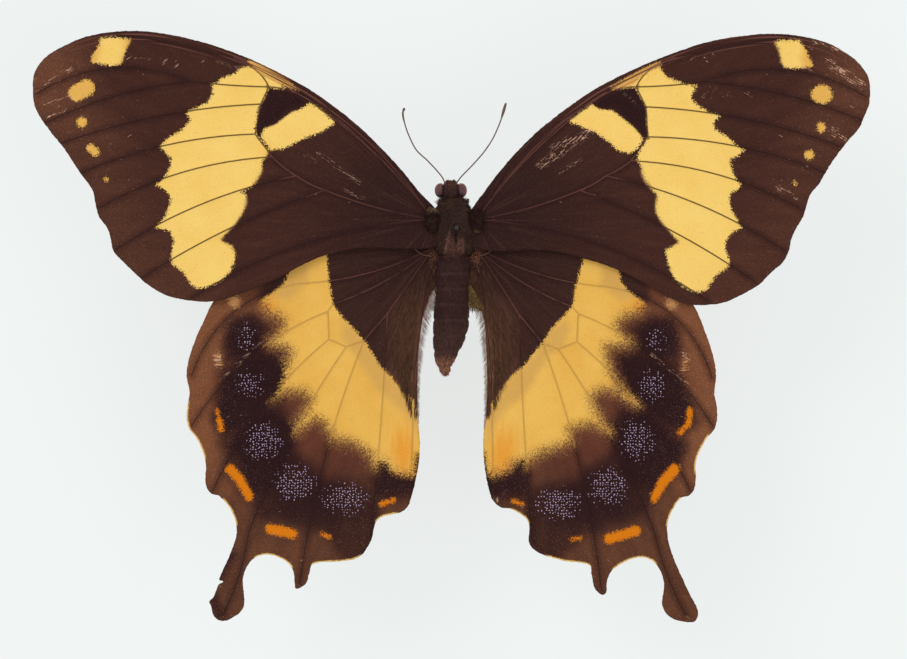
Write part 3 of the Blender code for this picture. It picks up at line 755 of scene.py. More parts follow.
@dataclass(frozen=True)
class WingFinish:
    """Dry wing scales: dark brown ground, yellow bands with dusty edges, and the smaller markings."""

    name: str
    base: Colour = tone(47, 27, 25)
    brown: Colour = tone(67, 38, 31)
    beyond: Colour = tone(84, 46, 35)
    margin: Colour = tone(104, 64, 46)
    margin_reach: float = 15.0
    base_reach: float = 34.0
    low_dark: float = 0.0
    beyond_share: float = 0.0
    fan_share: float = 0.16
    inner: Colour = tone(104, 68, 50)
    inner_share: float = 0.0
    deep: Colour = tone(40, 19, 22)
    yellow: Colour = tone(250, 210, 116)
    yellow_deep: Colour = tone(246, 200, 102)
    dull: Colour = tone(226, 170, 80)
    ochre: Colour = tone(233, 158, 58)
    gold: Colour = tone(228, 172, 90)
    rust: Colour = tone(222, 124, 14)
    lilac: Colour = tone(182, 162, 190)
    dust: Colour = tone(104, 60, 46)
    dust_reach: float = 2.0
    vein_dark: Colour = tone(46, 26, 22)
    vein_pink: Colour = tone(118, 74, 62)
    vein_yellow: Colour = tone(70, 42, 22)
    vein_yellow_width: float = 0.1
    vein_yellow_share: float = 0.9
    fleck: Colour = tone(216, 170, 142)
    fringe: Colour = tone(250, 204, 120)

    def ground(self, scales: Scales) -> Socket:
        """The brown ground's colour, darkest at the root and lightest at the outer margin."""
        paint, grain, cloud, along = scales.paint, scales.grain, scales.cloud, scales.along
        streak = paint.noise(1.0, 4.0, paint.vector(along * 0.12, scales.around * 26.0))
        colour = paint.mix(along.step(self.base_reach, 3.0), self.brown, self.base)
        beyond = (paint.attribute("dusk") + cloud.swing(4.0)).step(-0.5, 1.5) * self.beyond_share
        y = paint.axis("Y")
        low = y.step(-38.0, -52.0) * self.low_dark
        colour = paint.mix(beyond * (1 - low), colour, self.beyond)
        apex = (y.step(8.0, 32.0) * 0.7 + 0.3) * (1.12 - paint.axis("X").step(-SPAN, SPAN) * 0.26)
        outer = paint.attribute("rim").step(self.margin_reach, 1.5) * apex.most(beyond) * (1 - low * 0.55)
        colour = paint.mix((outer * (cloud * 0.7 + 0.65) + streak.swing(0.3)).held(), colour, self.margin)
        murk = (paint.attribute("murk") + cloud.swing(3.0) + grain.swing(0.8)).step(-2.0, 1.2)
        colour = paint.mix(murk * 0.72, colour, self.deep)
        smoke = paint.attribute("vein").step(1.3, 0.1) * (cloud * 0.6 + 0.1)
        colour = paint.mix(smoke.held(), colour, self.deep)
        hair = paint.noise(1.0, 4.0, paint.vector(along * 0.35, scales.around * 70.0))
        inner = paint.attribute("inner").step(8.0, 0.6) * self.inner_share
        inner = inner * (1 - beyond) * along.step(5.0, 18.0)
        colour = paint.mix((inner * (hair * 2.4 - 0.3)).held(), colour, self.inner)
        deep = (paint.attribute("deep") + grain.swing(1.6) + cloud.swing(2.6)).step(-1.9, 1.1)
        colour = paint.mix(deep * 0.9, colour, self.deep)
        halo = (paint.attribute("lilac") + grain.swing(1.5)).step(-3.0, 0.0)
        colour = paint.mix(halo * 0.4, colour, self.deep)
        fan = paint.noise(1.0, 2.0, paint.vector(along * 0.04, scales.around * 16.0)).step(0.56, 0.64)
        colour = paint.mix(fan * along.step(16.0, 4.0) * self.fan_share, colour, self.vein_pink)
        colour = paint.shade(colour, grain.swing(0.5) + scales.speck.swing(0.5) + streak.swing(0.35) + 1.0)
        flecks = (scales.speck - 0.5).step(0.12, 0.26)
        return paint.mix(flecks * (outer * 0.3 + 0.08), colour, self.fleck)

    def bright(self, scales: Scales) -> Socket:
        """The colour of the yellow bands and spots with their duller and more orange parts."""
        paint, grain, speck = scales.paint, scales.grain, scales.speck
        colour = paint.mix(((scales.cloud - 0.3) * 2.0).held(), self.yellow, self.yellow_deep)
        dull = (paint.attribute("dull") + grain.swing(1.2) + scales.cloud.swing(1.8)).step(-1.1, 1.0)
        colour = paint.mix(dull * 0.85, colour, self.dull)
        run = paint.noise(1.0, 2.0, paint.vector(paint.attribute("out") * 1.3, paint.axis("Y") * 0.15))
        ochre = (paint.attribute("ochre") + run.swing(4.0)).step(-2.0, 1.4)
        colour = paint.mix(ochre, colour, self.ochre)
        colour = paint.shade(colour, grain.swing(0.16) + speck.swing(0.14) + 1.0)
        return paint.mix(speck.step(0.31, 0.24) * 0.5, colour, self.dust)

    def bands(self, scales: Scales, colour: Socket) -> tuple[Socket, Value]:
        """Lay the yellow bands with their dusty edges over the ground.

        Args:
            scales: What all parts read.
            colour: The ground's colour.

        Returns:
            The colour with them, and where it is yellow.
        """
        paint, grain, lone, reach = scales.paint, scales.grain, scales.lone, self.dust_reach
        dusk = paint.attribute("dusk") + scales.cloud.swing(reach * 0.8) + grain.swing(reach * 0.7)
        dusk = dusk + lone * (reach * 0.9)
        dusted = dusk.step(-0.75 * reach, 0.5 * reach)
        bright = paint.mix(dusted * 0.85, self.bright(scales), self.dust)
        yellow = (paint.attribute("yellow") + grain.swing(1.2) + lone * 0.5).step(-0.14, 0.14)
        yellow = yellow * dusk.step(1.15 * reach, 0.1 * reach)
        deep = paint.attribute("deep") + grain.swing(1.4) + lone * (0.2 + 0.45 * reach)
        yellow = yellow * deep.step(0.2 + 0.3 * reach, 0.1 - 0.25 * reach)
        return paint.mix(yellow, colour, bright), yellow

    def front(self, scales: Scales, colour: Socket, yellow: Value) -> tuple[Socket, Value]:
        """Lay the golden ridges and the pink rail along the front edge.

        Args:
            scales: What all parts read.
            colour: The colour under them.
            yellow: Where that is yellow.

        Returns:
            The colour with them, and where it is still yellow.
        """
        paint, reach, front = scales.paint, self.dust_reach, scales.paint.attribute("front")
        ridge = paint.noise(1.0, 2.0, paint.vector(front * 2.4, scales.along * 0.05))
        gold = paint.attribute("gold") + scales.grain.swing(0.4 + reach * 0.9) + scales.lone * (reach * 0.4)
        gold = gold.step(-0.3 * reach, 0.25 * reach)
        colour = paint.mix(gold, colour, paint.mix(ridge.step(0.40, 0.57), self.dust, self.gold))
        rail = ridge.step(0.54, 0.62) * front.step(2.4, 1.7) * scales.along.step(8.0, 24.0)
        colour = paint.mix(rail * (1 - yellow) * (1 - gold) * 0.75, colour, self.vein_pink)
        return colour, yellow * (1 - gold)

    def spots(self, scales: Scales, colour: Socket) -> Socket:
        """The colour with the rust crescents and the lilac dots laid over it."""
        paint = scales.paint
        rust = (paint.attribute("rust") + scales.grain.swing(1.3) + scales.lone * 0.5).step(-0.25, 0.25)
        colour = paint.mix(rust * 0.95, colour, self.rust)
        lilac = paint.attribute("lilac")
        distance, drawn, size = paint.cells(0.5 * MM, 0.65)
        dot = (distance + size.swing(0.11)).step(0.235, 0.15) * (0.2 + scales.grain * 1.4).held()
        crowd = (lilac * 0.4 + 0.36 - drawn).step(-0.03, 0.03)
        return paint.mix(dot * crowd * lilac.step(-0.9, 0.2), colour, self.lilac)

    def veins(self, scales: Scales, colour: Socket, yellow: Value) -> Socket:
        """Draw the veins' colours: soft on yellow, pink round the cell, dark beyond.

        Args:
            scales: What all parts read.
            colour: The colour under them.
            yellow: Where that is yellow.

        Returns:
            The colour with veins.
        """
        paint, vein = scales.paint, scales.paint.attribute("vein")
        thin = vein.step(0.15, 0.05)
        far = scales.along.step(3.0, 16.0) * 0.6 + 0.4
        pink = paint.attribute("cell").step(3.4, 0.3) * paint.noise(3.0 * MM, 2.0).step(0.24, 0.48) * far
        on_ground = paint.mix(pink * 0.75, self.vein_dark, self.vein_pink)
        colour = paint.mix(thin * (1 - yellow) * 0.75, colour, on_ground)
        wide = vein.step(self.vein_yellow_width * 2.0, self.vein_yellow_width * 0.6)
        return paint.mix(wide * yellow * self.vein_yellow_share, colour, self.vein_yellow)

    def wear(self, scales: Scales, colour: Socket) -> Socket:
        """The colour with rubbed streaks, nicks, the pale fringe and the lighter underside."""
        paint, grain, along = scales.paint, scales.grain, scales.along
        rubbed = paint.attribute("rubbed")
        scratch = paint.noise(1.0, 3.0, paint.vector(along * 0.6, scales.around * 90.0))
        worn = (scratch - 0.5 + grain.swing(0.5)).step(0.03, 0.16) * rubbed.step(-0.35, 0.5)
        colour = paint.mix(worn * along.step(52.0, 44.0) * 0.8, colour, self.fleck)
        out, y = paint.attribute("out"), paint.axis("Y")
        place = paint.vector((out * 0.88 - y * 0.47) * 0.45, (out * 0.47 + y * 0.88) * 5.0)
        nick = paint.noise(1.0, 2.0, place) + along.step(20.0, 82.0) * 0.04
        nick = nick + rubbed.step(-0.8, 0.6) * along.step(44.0, 52.0) * 0.20
        colour = paint.mix(nick.step(0.745, 0.80) * grain.step(0.40, 0.56) * 0.85, colour, self.fleck)
        edge = (paint.attribute("edge") + scales.lone * 0.16).step(0.34, 0.12)
        colour = paint.mix(edge * paint.attribute("fringe").step(-0.2, 0.3) * 0.85, colour, self.fringe)
        return paint.mix(paint.attribute("under") * 0.3, colour, self.margin)

    def paint(self) -> Material:
        """Build the material."""
        paint = Paint(self.name, roughness=0.8, specular_ior_level=0.06)
        grain = paint.noise(0.26 * MM, 3.0)
        scales = Scales(
            paint, grain, paint.noise(0.15 * MM, 1.0), paint.noise(6.0 * MM, 3.0),
            paint.cells(0.14 * MM, 0.9)[1] - 0.5, paint.attribute("along"), paint.attribute("around"),
        )
        colour, yellow = self.bands(scales, self.ground(scales))
        colour, yellow = self.front(scales, colour, yellow)
        colour = self.veins(scales, self.spots(scales, colour), yellow)
        relief = paint.cells(0.11 * MM, 0.6)[0] * 0.3 + grain * 0.7
        return paint.finish(self.wear(scales, colour), 0.65 + grain * 0.25, relief, 0.09 * MM)


FOREWING_RIGHT = {
    "costa": [
        (2.2, 1.6), (5.9, 7.4), (10.0, 12.5), (14.0, 16.6), (18.0, 20.0), (25.0, 24.9), (31.0, 28.0),
        (38.0, 31.0), (46.0, 33.6), (54.0, 34.8), (60.0, 34.8), (66.0, 33.6), (70.0, 31.7), (73.0, 29.2),
    ],
    "outer margin": [
        (74.5, 26.5), (74.5, 22.5), (73.6, 20.0), (72.7, 18.0), (70.9, 15.9), (67.9, 12.0), (65.5, 8.0),
        (63.9, 6.0), (63.2, 4.0), (62.6, 2.0), (61.4, 0.0), (60.5, -2.0), (60.0, -4.2), (59.0, -6.1),
        (56.8, -8.1), (54.8, -10.1), (51.4, -12.1),
    ],
    "hind margin": [
        (47.6, -13.6), (42.2, -13.8), (38.8, -12.6), (29.7, -7.7), (23.0, -5.4), (17.1, -4.1), (2.2, -3.2),
    ],
}
FOREWING_LEFT = {
    "costa": [
        (2.2, 1.6), (6.5, 6.6), (10.0, 10.9), (14.0, 15.1), (18.0, 18.9), (25.0, 24.2), (31.0, 27.6),
        (38.0, 30.9), (46.0, 33.6), (54.0, 35.2), (60.0, 35.4), (66.0, 34.5), (70.0, 32.9), (73.5, 30.8),
    ],
    "outer margin": [
        (75.6, 28.0), (75.9, 25.0), (75.6, 22.0), (74.5, 19.8), (72.8, 17.4), (70.1, 14.0), (67.5, 10.0),
        (65.2, 6.8), (64.6, 4.0), (64.0, 2.0), (62.5, -0.1), (61.9, -2.2), (61.4, -4.2), (59.9, -5.9),
        (57.7, -8.0), (55.4, -10.1), (51.7, -12.2),
    ],
    "hind margin": [
        (47.5, -13.1), (43.4, -13.2), (39.2, -12.0), (33.1, -9.6), (24.3, -5.2), (16.9, -3.6), (2.2, -3.0),
    ],
}
HINDWING_RIGHT = {
    "front": [(2.4, -1.4), (9.0, 0.2), (18.0, 1.0), (27.0, -0.5), (34.0, -4.5), (39.5, -9.5)],
    "outer margin": [
        (42.9, -13.8), (44.0, -16.0), (45.5, -20.0), (46.7, -24.0), (47.0, -26.6), (46.7, -29.6),
        (47.2, -33.2), (46.8, -36.0), (45.2, -38.0), (43.4, -42.0), (43.3, -46.0), (42.4, -48.0),
        (40.6, -48.7), (38.7, -51.8), (38.2, -54.8), (39.2, -59.0), (41.2, -63.6), (42.5, -66.4),
        (43.4, -68.0), (43.8, -69.6), (43.2, -70.8), (42.0, -71.0), (40.5, -70.8), (38.9, -70.2),
        (37.8, -69.1), (37.3, -67.6), (37.6, -65.2), (37.6, -63.6), (36.9, -61.6), (36.2, -60.5),
        (35.2, -59.7), (33.7, -59.3), (32.2, -59.5), (30.4, -60.2), (29.0, -61.1), (28.1, -61.9),
        (27.5, -63.2), (27.3, -64.6), (27.3, -65.5), (26.9, -66.05), (26.2, -65.95), (25.5, -65.4),
        (25.0, -64.5), (24.6, -62.2), (24.2, -60.7), (18.9, -59.8), (13.7, -57.4), (13.2, -52.9),
        (10.3, -50.7), (8.0, -50.2), (6.4, -48.2),
    ],
    "inner margin": [
        (5.1, -40.1), (5.8, -28.3), (5.6, -21.1), (5.0, -15.3), (3.4, -14.1), (2.5, -12.6), (2.5, -7.4),
        (2.4, -4.4),
    ],
}
HINDWING_LEFT = {
    "front": [(2.4, -1.4), (9.0, 0.2), (18.0, 1.2), (27.0, 0.0), (34.4, -3.8), (40.0, -8.6)],
    "outer margin": [
        (43.5, -13.2), (44.9, -16.0), (46.7, -20.0), (48.0, -24.0), (48.3, -26.6), (47.8, -29.6),
        (48.3, -33.4), (47.9, -36.0), (46.4, -38.0), (44.9, -42.0), (44.9, -46.0), (44.0, -47.7),
        (42.4, -48.3), (40.2, -51.0), (39.3, -54.4), (40.1, -57.7), (42.2, -62.5), (42.5, -63.35),
        (42.25, -63.5), (41.7, -63.7), (42.35, -64.0), (42.65, -64.35), (43.5, -66.4), (44.0, -66.95),
        (44.3, -67.35), (43.95, -68.0), (43.7, -69.2), (43.2, -70.2), (41.9, -70.8), (40.3, -70.3),
        (38.8, -69.3), (38.0, -68.0), (38.1, -65.4), (38.2, -63.3), (37.8, -61.7), (36.8, -60.0),
        (35.5, -59.1), (33.6, -58.8), (31.8, -59.3), (30.2, -60.2), (29.2, -61.6), (28.85, -64.2),
        (28.75, -64.9), (28.45, -65.05), (27.9, -64.8), (27.0, -64.2), (26.55, -63.3), (26.2, -61.9),
        (25.6, -60.5), (20.3, -60.0), (17.2, -59.2), (15.1, -56.2), (13.9, -52.5), (9.4, -51.0), (8.1, -49.3),
    ],
    "inner margin": [
        (6.4, -41.0), (6.7, -33.0), (6.7, -25.6), (6.3, -19.2), (5.7, -15.5), (4.4, -11.8), (3.2, -9.9),
        (2.7, -7.4), (2.4, -4.4),
    ],
}
FOREWING_NODES_RIGHT = {
    "root": (4.0, 1.6), "cell front": (24.0, 22.0), "radius": (32.6, 25.4), "media 1": (34.4, 21.8),
    "media 2": (34.7, 16.4), "media 3": (31.7, 12.1), "cubitus 1": (27.2, 9.4), "cubitus 2": (22.5, 6.8),
    "subcosta end": (39.6, 30.7), "rise": (37.6, 29.8), "radius 3 end": (60.0, 34.2), "fork": (44.6, 26.3),
    "radius 4 end": (73.9, 23.6), "radius 5 end": (73.0, 19.4), "media 1 end": (69.4, 14.6),
    "media 2 end": (66.4, 10.0), "media 3 end": (62.6, 3.2), "cubitus 1 end": (59.4, -4.2),
    "cubitus 2 end": (54.1, -9.8), "anal end": (45.6, -13.2),
}
FOREWING_NODES_LEFT = {
    "root": (4.0, 1.6), "cell front": (24.0, 21.2), "radius": (33.5, 25.4), "media 1": (35.0, 22.3),
    "media 2": (36.0, 16.9), "media 3": (32.9, 12.8), "cubitus 1": (28.6, 9.4), "cubitus 2": (23.4, 6.8),
    "subcosta end": (39.9, 30.8), "rise": (38.4, 29.8), "radius 3 end": (61.0, 34.8), "fork": (47.6, 26.4),
    "radius 4 end": (75.2, 24.2), "radius 5 end": (73.8, 18.8), "media 1 end": (70.9, 15.2),
    "media 2 end": (67.1, 10.0), "media 3 end": (64.0, 3.6), "cubitus 1 end": (60.9, -3.8),
    "cubitus 2 end": (56.2, -8.9), "anal end": (47.4, -12.6),
}
FOREWING_VEINS = [
    ("root", "cell front", 1.2), ("cell front", "radius", 1.0), ("root", "subcosta end", 3.7),
    ("radius", "media 1", 0.0), ("media 1", "media 2", 0.0), ("media 2", "media 3", 0.0),
    ("media 3", "cubitus 1", 0.2), ("cubitus 1", "cubitus 2", 0.2), ("cubitus 2", "root", 0.6),
    ("radius", "rise", 0.7), ("rise", "radius 3 end", 0.7), ("radius", "fork", -0.2),
    ("fork", "radius 4 end", 3.5), ("fork", "radius 5 end", 1.2), ("media 1", "media 1 end", 1.4),
    ("media 2", "media 2 end", 1.5), ("media 3", "media 3 end", 1.9), ("cubitus 1", "cubitus 1 end", 1.7),
    ("cubitus 2", "cubitus 2 end", 1.2), ("root", "anal end", 3.0),
]
HINDWING_NODES_RIGHT = {
    "root": (3.8, -3.4), "radius": (21.2, -14.2), "media 1": (22.2, -15.4), "media 2": (22.0, -20.5),
    "media 3": (18.6, -21.8), "cubitus 1": (15.8, -20.7), "cubitus 2": (11.6, -15.6),
    "shoulder": (27.6, -10.6), "radius end": (46.3, -27.0), "media 1 end": (46.4, -35.6),
    "media 2 end": (42.3, -47.2), "tail bend": (36.0, -55.0), "tail tip": (41.6, -69.6),
    "tooth tip": (26.4, -65.2), "cubitus 2 end": (14.0, -56.9), "anal bend": (6.6, -27.0),
    "anal end": (6.9, -46.0),
}
HINDWING_NODES_LEFT = {
    "root": (3.8, -3.4), "radius": (22.0, -13.7), "media 1": (22.9, -15.0), "media 2": (22.7, -20.0),
    "media 3": (19.6, -21.4), "cubitus 1": (16.4, -20.2), "cubitus 2": (12.2, -15.4),
    "shoulder": (27.9, -10.0), "radius end": (47.4, -26.5), "media 1 end": (47.4, -35.6),
    "media 2 end": (43.6, -47.2), "tail bend": (37.2, -55.0), "tail tip": (41.7, -69.4),
    "tooth tip": (28.0, -64.1), "cubitus 2 end": (15.2, -55.6), "anal bend": (7.4, -27.0),
    "anal end": (7.9, -46.0),
}
HINDWING_VEINS = [
    ("root", "radius", -1.0), ("root", "shoulder", -1.4), ("radius", "media 1", 0.0),
    ("media 1", "media 2", 0.0), ("media 2", "media 3", 0.0), ("media 3", "cubitus 1", 0.0),
    ("cubitus 1", "cubitus 2", 0.0), ("cubitus 2", "root", 0.0), ("shoulder", "radius end", 3.8),
    ("media 1", "media 1 end", 2.7), ("media 2", "media 2 end", 2.0), ("media 3", "tail bend", 1.2),
    ("tail bend", "tail tip", -0.6), ("cubitus 1", "tooth tip", 1.4), ("cubitus 2", "cubitus 2 end", -0.3),
    ("root", "anal bend", 0.3), ("anal bend", "anal end", 0.0),
]

FOREWING_MARKS_RIGHT = Marks(
    yellow=(
        Patch([
            (660, 66), (663, 73), (667, 77), (675, 80), (683, 84), (697, 86), (692, 94), (692, 100),
            (700, 107), (709, 112), (720, 116), (713, 122), (715, 129), (722, 134), (729, 138), (738, 148),
            (744, 150), (738, 156), (731, 158), (730, 163), (732, 170), (735, 178), (741, 185), (737, 190),
            (731, 192), (729, 200), (731, 210), (738, 222), (741, 228), (733, 232), (728, 237), (725, 243),
            (726, 252), (730, 262), (727, 268), (724, 270), (716, 275), (711, 283), (706, 290), (700, 292),
            (692, 291), (683, 286), (675, 279), (670, 270), (667, 258), (665, 249), (672, 246), (678, 242),
            (668, 231), (660, 222), (655, 212), (654, 202), (657, 195), (650, 190), (643, 183), (640, 173),
            (641, 166), (637, 160), (640, 150), (649, 138), (647, 125), (646, 107), (641, 98), (635, 88),
            (620, 89), (630, 81), (641, 74), (652, 68),
        ]),
        Patch([
            (569, 121), (580, 112), (592, 104), (600, 109), (613, 110), (622, 117), (633, 126), (641, 135),
            (643, 140), (636, 150), (630, 153), (619, 151), (608, 141), (597, 133), (585, 128), (577, 124),
        ]),
        Patch([
            (772, 42), (780, 40), (800, 41), (803, 46), (808, 55), (813, 66), (800, 68), (785, 68), (780, 64),
            (779, 55), (775, 47),
        ]),
        Oval(821.5, 94.5, 10.5, 9.3), Oval(821, 127.5, 4, 4.6), Oval(809, 155, 4.5, 4.5),
        Oval(795, 183, 2, 2),
    ),
    deep=(Patch([
        (600, 93), (612, 90), (634, 88), (640, 98), (646, 108), (646, 125), (648, 137), (641, 135),
        (633, 126), (622, 117), (613, 110), (600, 109), (592, 104),
    ]),),
    dusk=(
        Patch([
            (630, 162), (641, 168), (643, 176), (650, 187), (657, 197), (655, 212), (661, 222), (669, 231),
            (677, 242), (667, 249), (640, 250), (620, 200),
        ]),
        Patch([(766, 38), (774, 40), (778, 50), (780, 62), (783, 70), (768, 72)]),
    ),
    dull=(
        Oval(822, 93, 15, 13), Oval(821, 127, 8, 8), Oval(809, 155, 8, 8), Oval(795, 183, 6, 6),
        Patch([(806, 36), (818, 70), (804, 72), (801, 58)]),
    ),
    gold=(Patch([
        (612, 90), (610, 87), (624, 79), (638, 71), (651, 65), (662, 61), (661, 66), (650, 70), (640, 77),
        (634, 84), (624, 88),
    ]),),
    rubbed=(
        Stroke((541, 165), (590, 131), 4.5), Stroke((552, 148), (570, 138), 2.5),
        Stroke((560, 172), (582, 160), 1.5), Stroke((624, 92), (634, 102), 1.0),
        Stroke((686, 60), (722, 52), 1.2), Stroke((702, 98), (716, 87), 1.2),
        Stroke((722, 94), (752, 98), 1.2), Stroke((786, 68), (815, 70), 2.0),
        Stroke((828, 62), (862, 86), 5.0), Stroke((835, 45), (866, 62), 3.5),
        Stroke((815, 42), (845, 50), 2.5), Stroke((780, 188), (800, 200), 2.5),
        Stroke((830, 128), (845, 140), 3.0),
    ),
)
FOREWING_MARKS_LEFT = Marks(
    yellow=(
        Patch([
            (241, 68), (235, 74), (220, 79), (219, 83), (212, 84), (213, 95), (207, 103), (194, 109),
            (186, 113), (191, 120), (182, 130), (167, 139), (160, 147), (165, 152), (171, 158), (171, 166),
            (164, 179), (156, 184.5), (163, 189), (169, 194), (171, 200), (168, 210), (164, 220), (155, 227),
            (170, 231), (174, 238), (173, 247), (171, 258), (172, 263), (184, 273), (190, 283), (197, 288),
            (205, 288), (220, 281), (230, 272), (234, 262), (236, 252), (233, 245), (222, 240.5),
            (225, 235.5), (236, 225), (243, 213), (248, 204), (246, 195), (241, 192), (245, 189.5),
            (254, 186), (260, 178), (263, 171), (262, 161), (268, 157), (269, 151), (266, 147), (256, 135),
            (255, 129), (257, 117), (258, 106), (263, 102), (266, 95), (268, 88), (286, 89), (275, 79),
            (262, 71), (250, 66),
        ]),
        Patch([
            (310, 103), (322, 110), (335, 123), (320, 132), (305, 138), (283, 149), (270, 150), (261, 136),
            (264, 128), (275, 124), (283, 118), (291, 112), (300, 109),
        ]),
        Patch([
            (101, 38.5), (116, 37.5), (132.5, 39.5), (127.5, 48), (124.5, 57), (122.5, 64), (112, 66),
            (101, 64), (91.5, 62.5), (92.5, 56), (98, 48),
        ]),
        Stroke((77, 93), (87, 88), 8.0), Oval(82, 122.5, 4.6, 5.2), Stroke((91, 148.5), (95.5, 152), 4),
        Oval(106.4, 180, 2, 2),
    ),
    deep=(Patch([
        (269, 90), (290, 92), (307, 98), (299, 109), (291, 112), (283, 118), (275, 125), (264, 128),
        (257, 135), (258, 117), (262, 104),
    ]),),
    dusk=(
        Patch([
            (280, 150), (267, 155), (262, 172), (248, 195), (243, 215), (233, 228), (222, 240), (232, 245),
            (236, 252), (270, 252), (300, 200),
        ]),
        Patch([(139, 36), (131, 41), (127, 52), (123, 64), (126, 72), (140, 70)]),
    ),
    dull=(
        Oval(82, 91, 17, 13), Oval(82, 122, 9, 9), Oval(93, 150, 9, 9), Oval(106.6, 179, 6, 6),
        Patch([(126, 35), (136, 38), (126, 60), (121, 66)]), Patch([(88, 66), (100, 36), (97, 62)]),
    ),
    gold=(Patch([
        (246, 60), (256, 62), (272, 69), (284, 76), (292, 83), (299, 91), (290, 88), (276, 82), (262, 75),
        (253, 68),
    ]),),
    rubbed=(
        Stroke((318, 153), (360, 183), 1.6), Stroke((305, 155), (315, 162), 1.0),
        Stroke((345, 190), (365, 200), 1.2), Stroke((37, 91), (60, 74), 1.6), Stroke((60, 74), (85, 64), 1.2),
        Stroke((126, 58), (178, 61), 1.0), Stroke((164, 64), (178, 67), 1.0),
        Stroke((217, 61), (240, 69), 1.0), Stroke((44, 105), (70, 96), 1.4),
        Stroke((48, 118), (66, 112), 1.4),
    ),
)
HINDWING_MARKS_RIGHT = Marks(
    yellow=(Patch([
        (584, 240), (583, 262), (575, 290), (573, 305), (565, 315), (552, 328), (545, 340), (535, 352),
        (525, 365), (515, 373), (505, 383), (497, 395), (490, 410), (484, 425), (478, 480), (560, 520),
        (700, 420), (700, 330), (656, 313), (652, 308), (646, 302), (637, 297), (627, 290), (621, 281),
        (619, 272), (614, 240),
    ]),),
    dusk=(Patch([
        (700, 250), (648, 262), (645, 276), (643, 287), (645, 297), (641, 306), (636, 312), (626, 315),
        (618, 320), (616, 327), (620, 334), (627, 343), (614, 344), (605, 345), (606, 357), (609, 370),
        (615, 382), (622, 394), (636, 402), (630, 398), (618, 392), (605, 390), (595, 392), (590, 400),
        (596, 413), (602, 424), (610, 431), (603, 428), (592, 423), (580, 425), (568, 430), (570, 440),
        (560, 445), (545, 448), (535, 455), (528, 460), (515, 462), (505, 470), (495, 475), (486, 482),
        (470, 520), (520, 640), (720, 660), (760, 400),
    ]),),
    deep=(
        Patch([
            (487, 457), (489, 470), (493, 477.5), (499, 476), (504, 475), (510, 472), (517, 462), (525, 458),
            (527, 475), (526, 490), (515, 496), (495, 496), (480, 488), (476, 470), (476, 452), (485, 451),
        ]),
        Oval(658, 340, 17, 19),
        Patch([
            (621, 360), (640, 356), (662, 364), (682, 378), (692, 400), (694, 424), (684, 432), (664, 422),
            (644, 408), (629, 392), (621, 374),
        ]),
        Patch([
            (612, 424), (640, 412), (668, 430), (684, 446), (672, 462), (656, 492), (640, 486), (620, 460),
        ]),
    ),
    lilac=(
        Oval(657, 341, 9.5, 10.5), Oval(652, 386, 12, 15.5), Oval(637, 440, 17, 20), Oval(608, 488, 20, 19),
        Oval(558, 504, 23, 15.5),
    ),
    rust=(
        Stroke((675, 469), (664, 481), 5.2), Stroke((664, 481), (656, 495), 4.4),
        Stroke((655, 495), (654, 500), 3), Stroke((636, 531), (609, 539), 4.8),
        Stroke((690, 410), (689, 424), 2.6), Stroke((688, 424), (680, 433), 2.2),
        Stroke((513, 501), (523, 504.5), 1.7), Stroke((571, 540), (581, 538), 1.3),
    ),
    ochre=(Oval(503, 457, 10, 22), Oval(641, 306, 9, 5)),
    dull=(
        Patch([
            (566, 320), (556, 328), (545, 338), (536, 352), (520, 370), (503, 388), (493, 405), (486, 425),
            (486, 446), (495, 425), (512, 405), (530, 388), (542, 370), (552, 352), (562, 345), (570, 330),
        ]),
        Patch([(600, 262), (618, 268), (622, 284), (638, 299), (622, 300), (602, 284)]),
    ),
    gold=(Oval(672, 303, 4.5, 5.5), Stroke((686, 359), (684, 370), 2.0)),
    rubbed=(Oval(686, 356, 4, 9), Stroke((645, 350), (690, 385), 1.3), Oval(499, 500, 5, 3)),
    fringe=(
        Oval(694, 440, 15, 34), Oval(674, 512, 14, 17), Oval(632, 560, 26, 14), Oval(575, 558, 30, 11),
        Oval(520, 516, 14, 10),
    ),
    murk=(
        Patch([
            (672, 322), (650, 318), (634, 326), (624, 345), (614, 365), (624, 392), (620, 412), (614, 444),
            (602, 464), (578, 480), (550, 486), (530, 488), (528, 510), (526, 540), (538, 562), (562, 556),
            (582, 532), (608, 524), (642, 518), (658, 500), (678, 468), (686, 440), (688, 400), (682, 360),
        ]),
        Oval(504, 488, 28, 18),
    ),
)
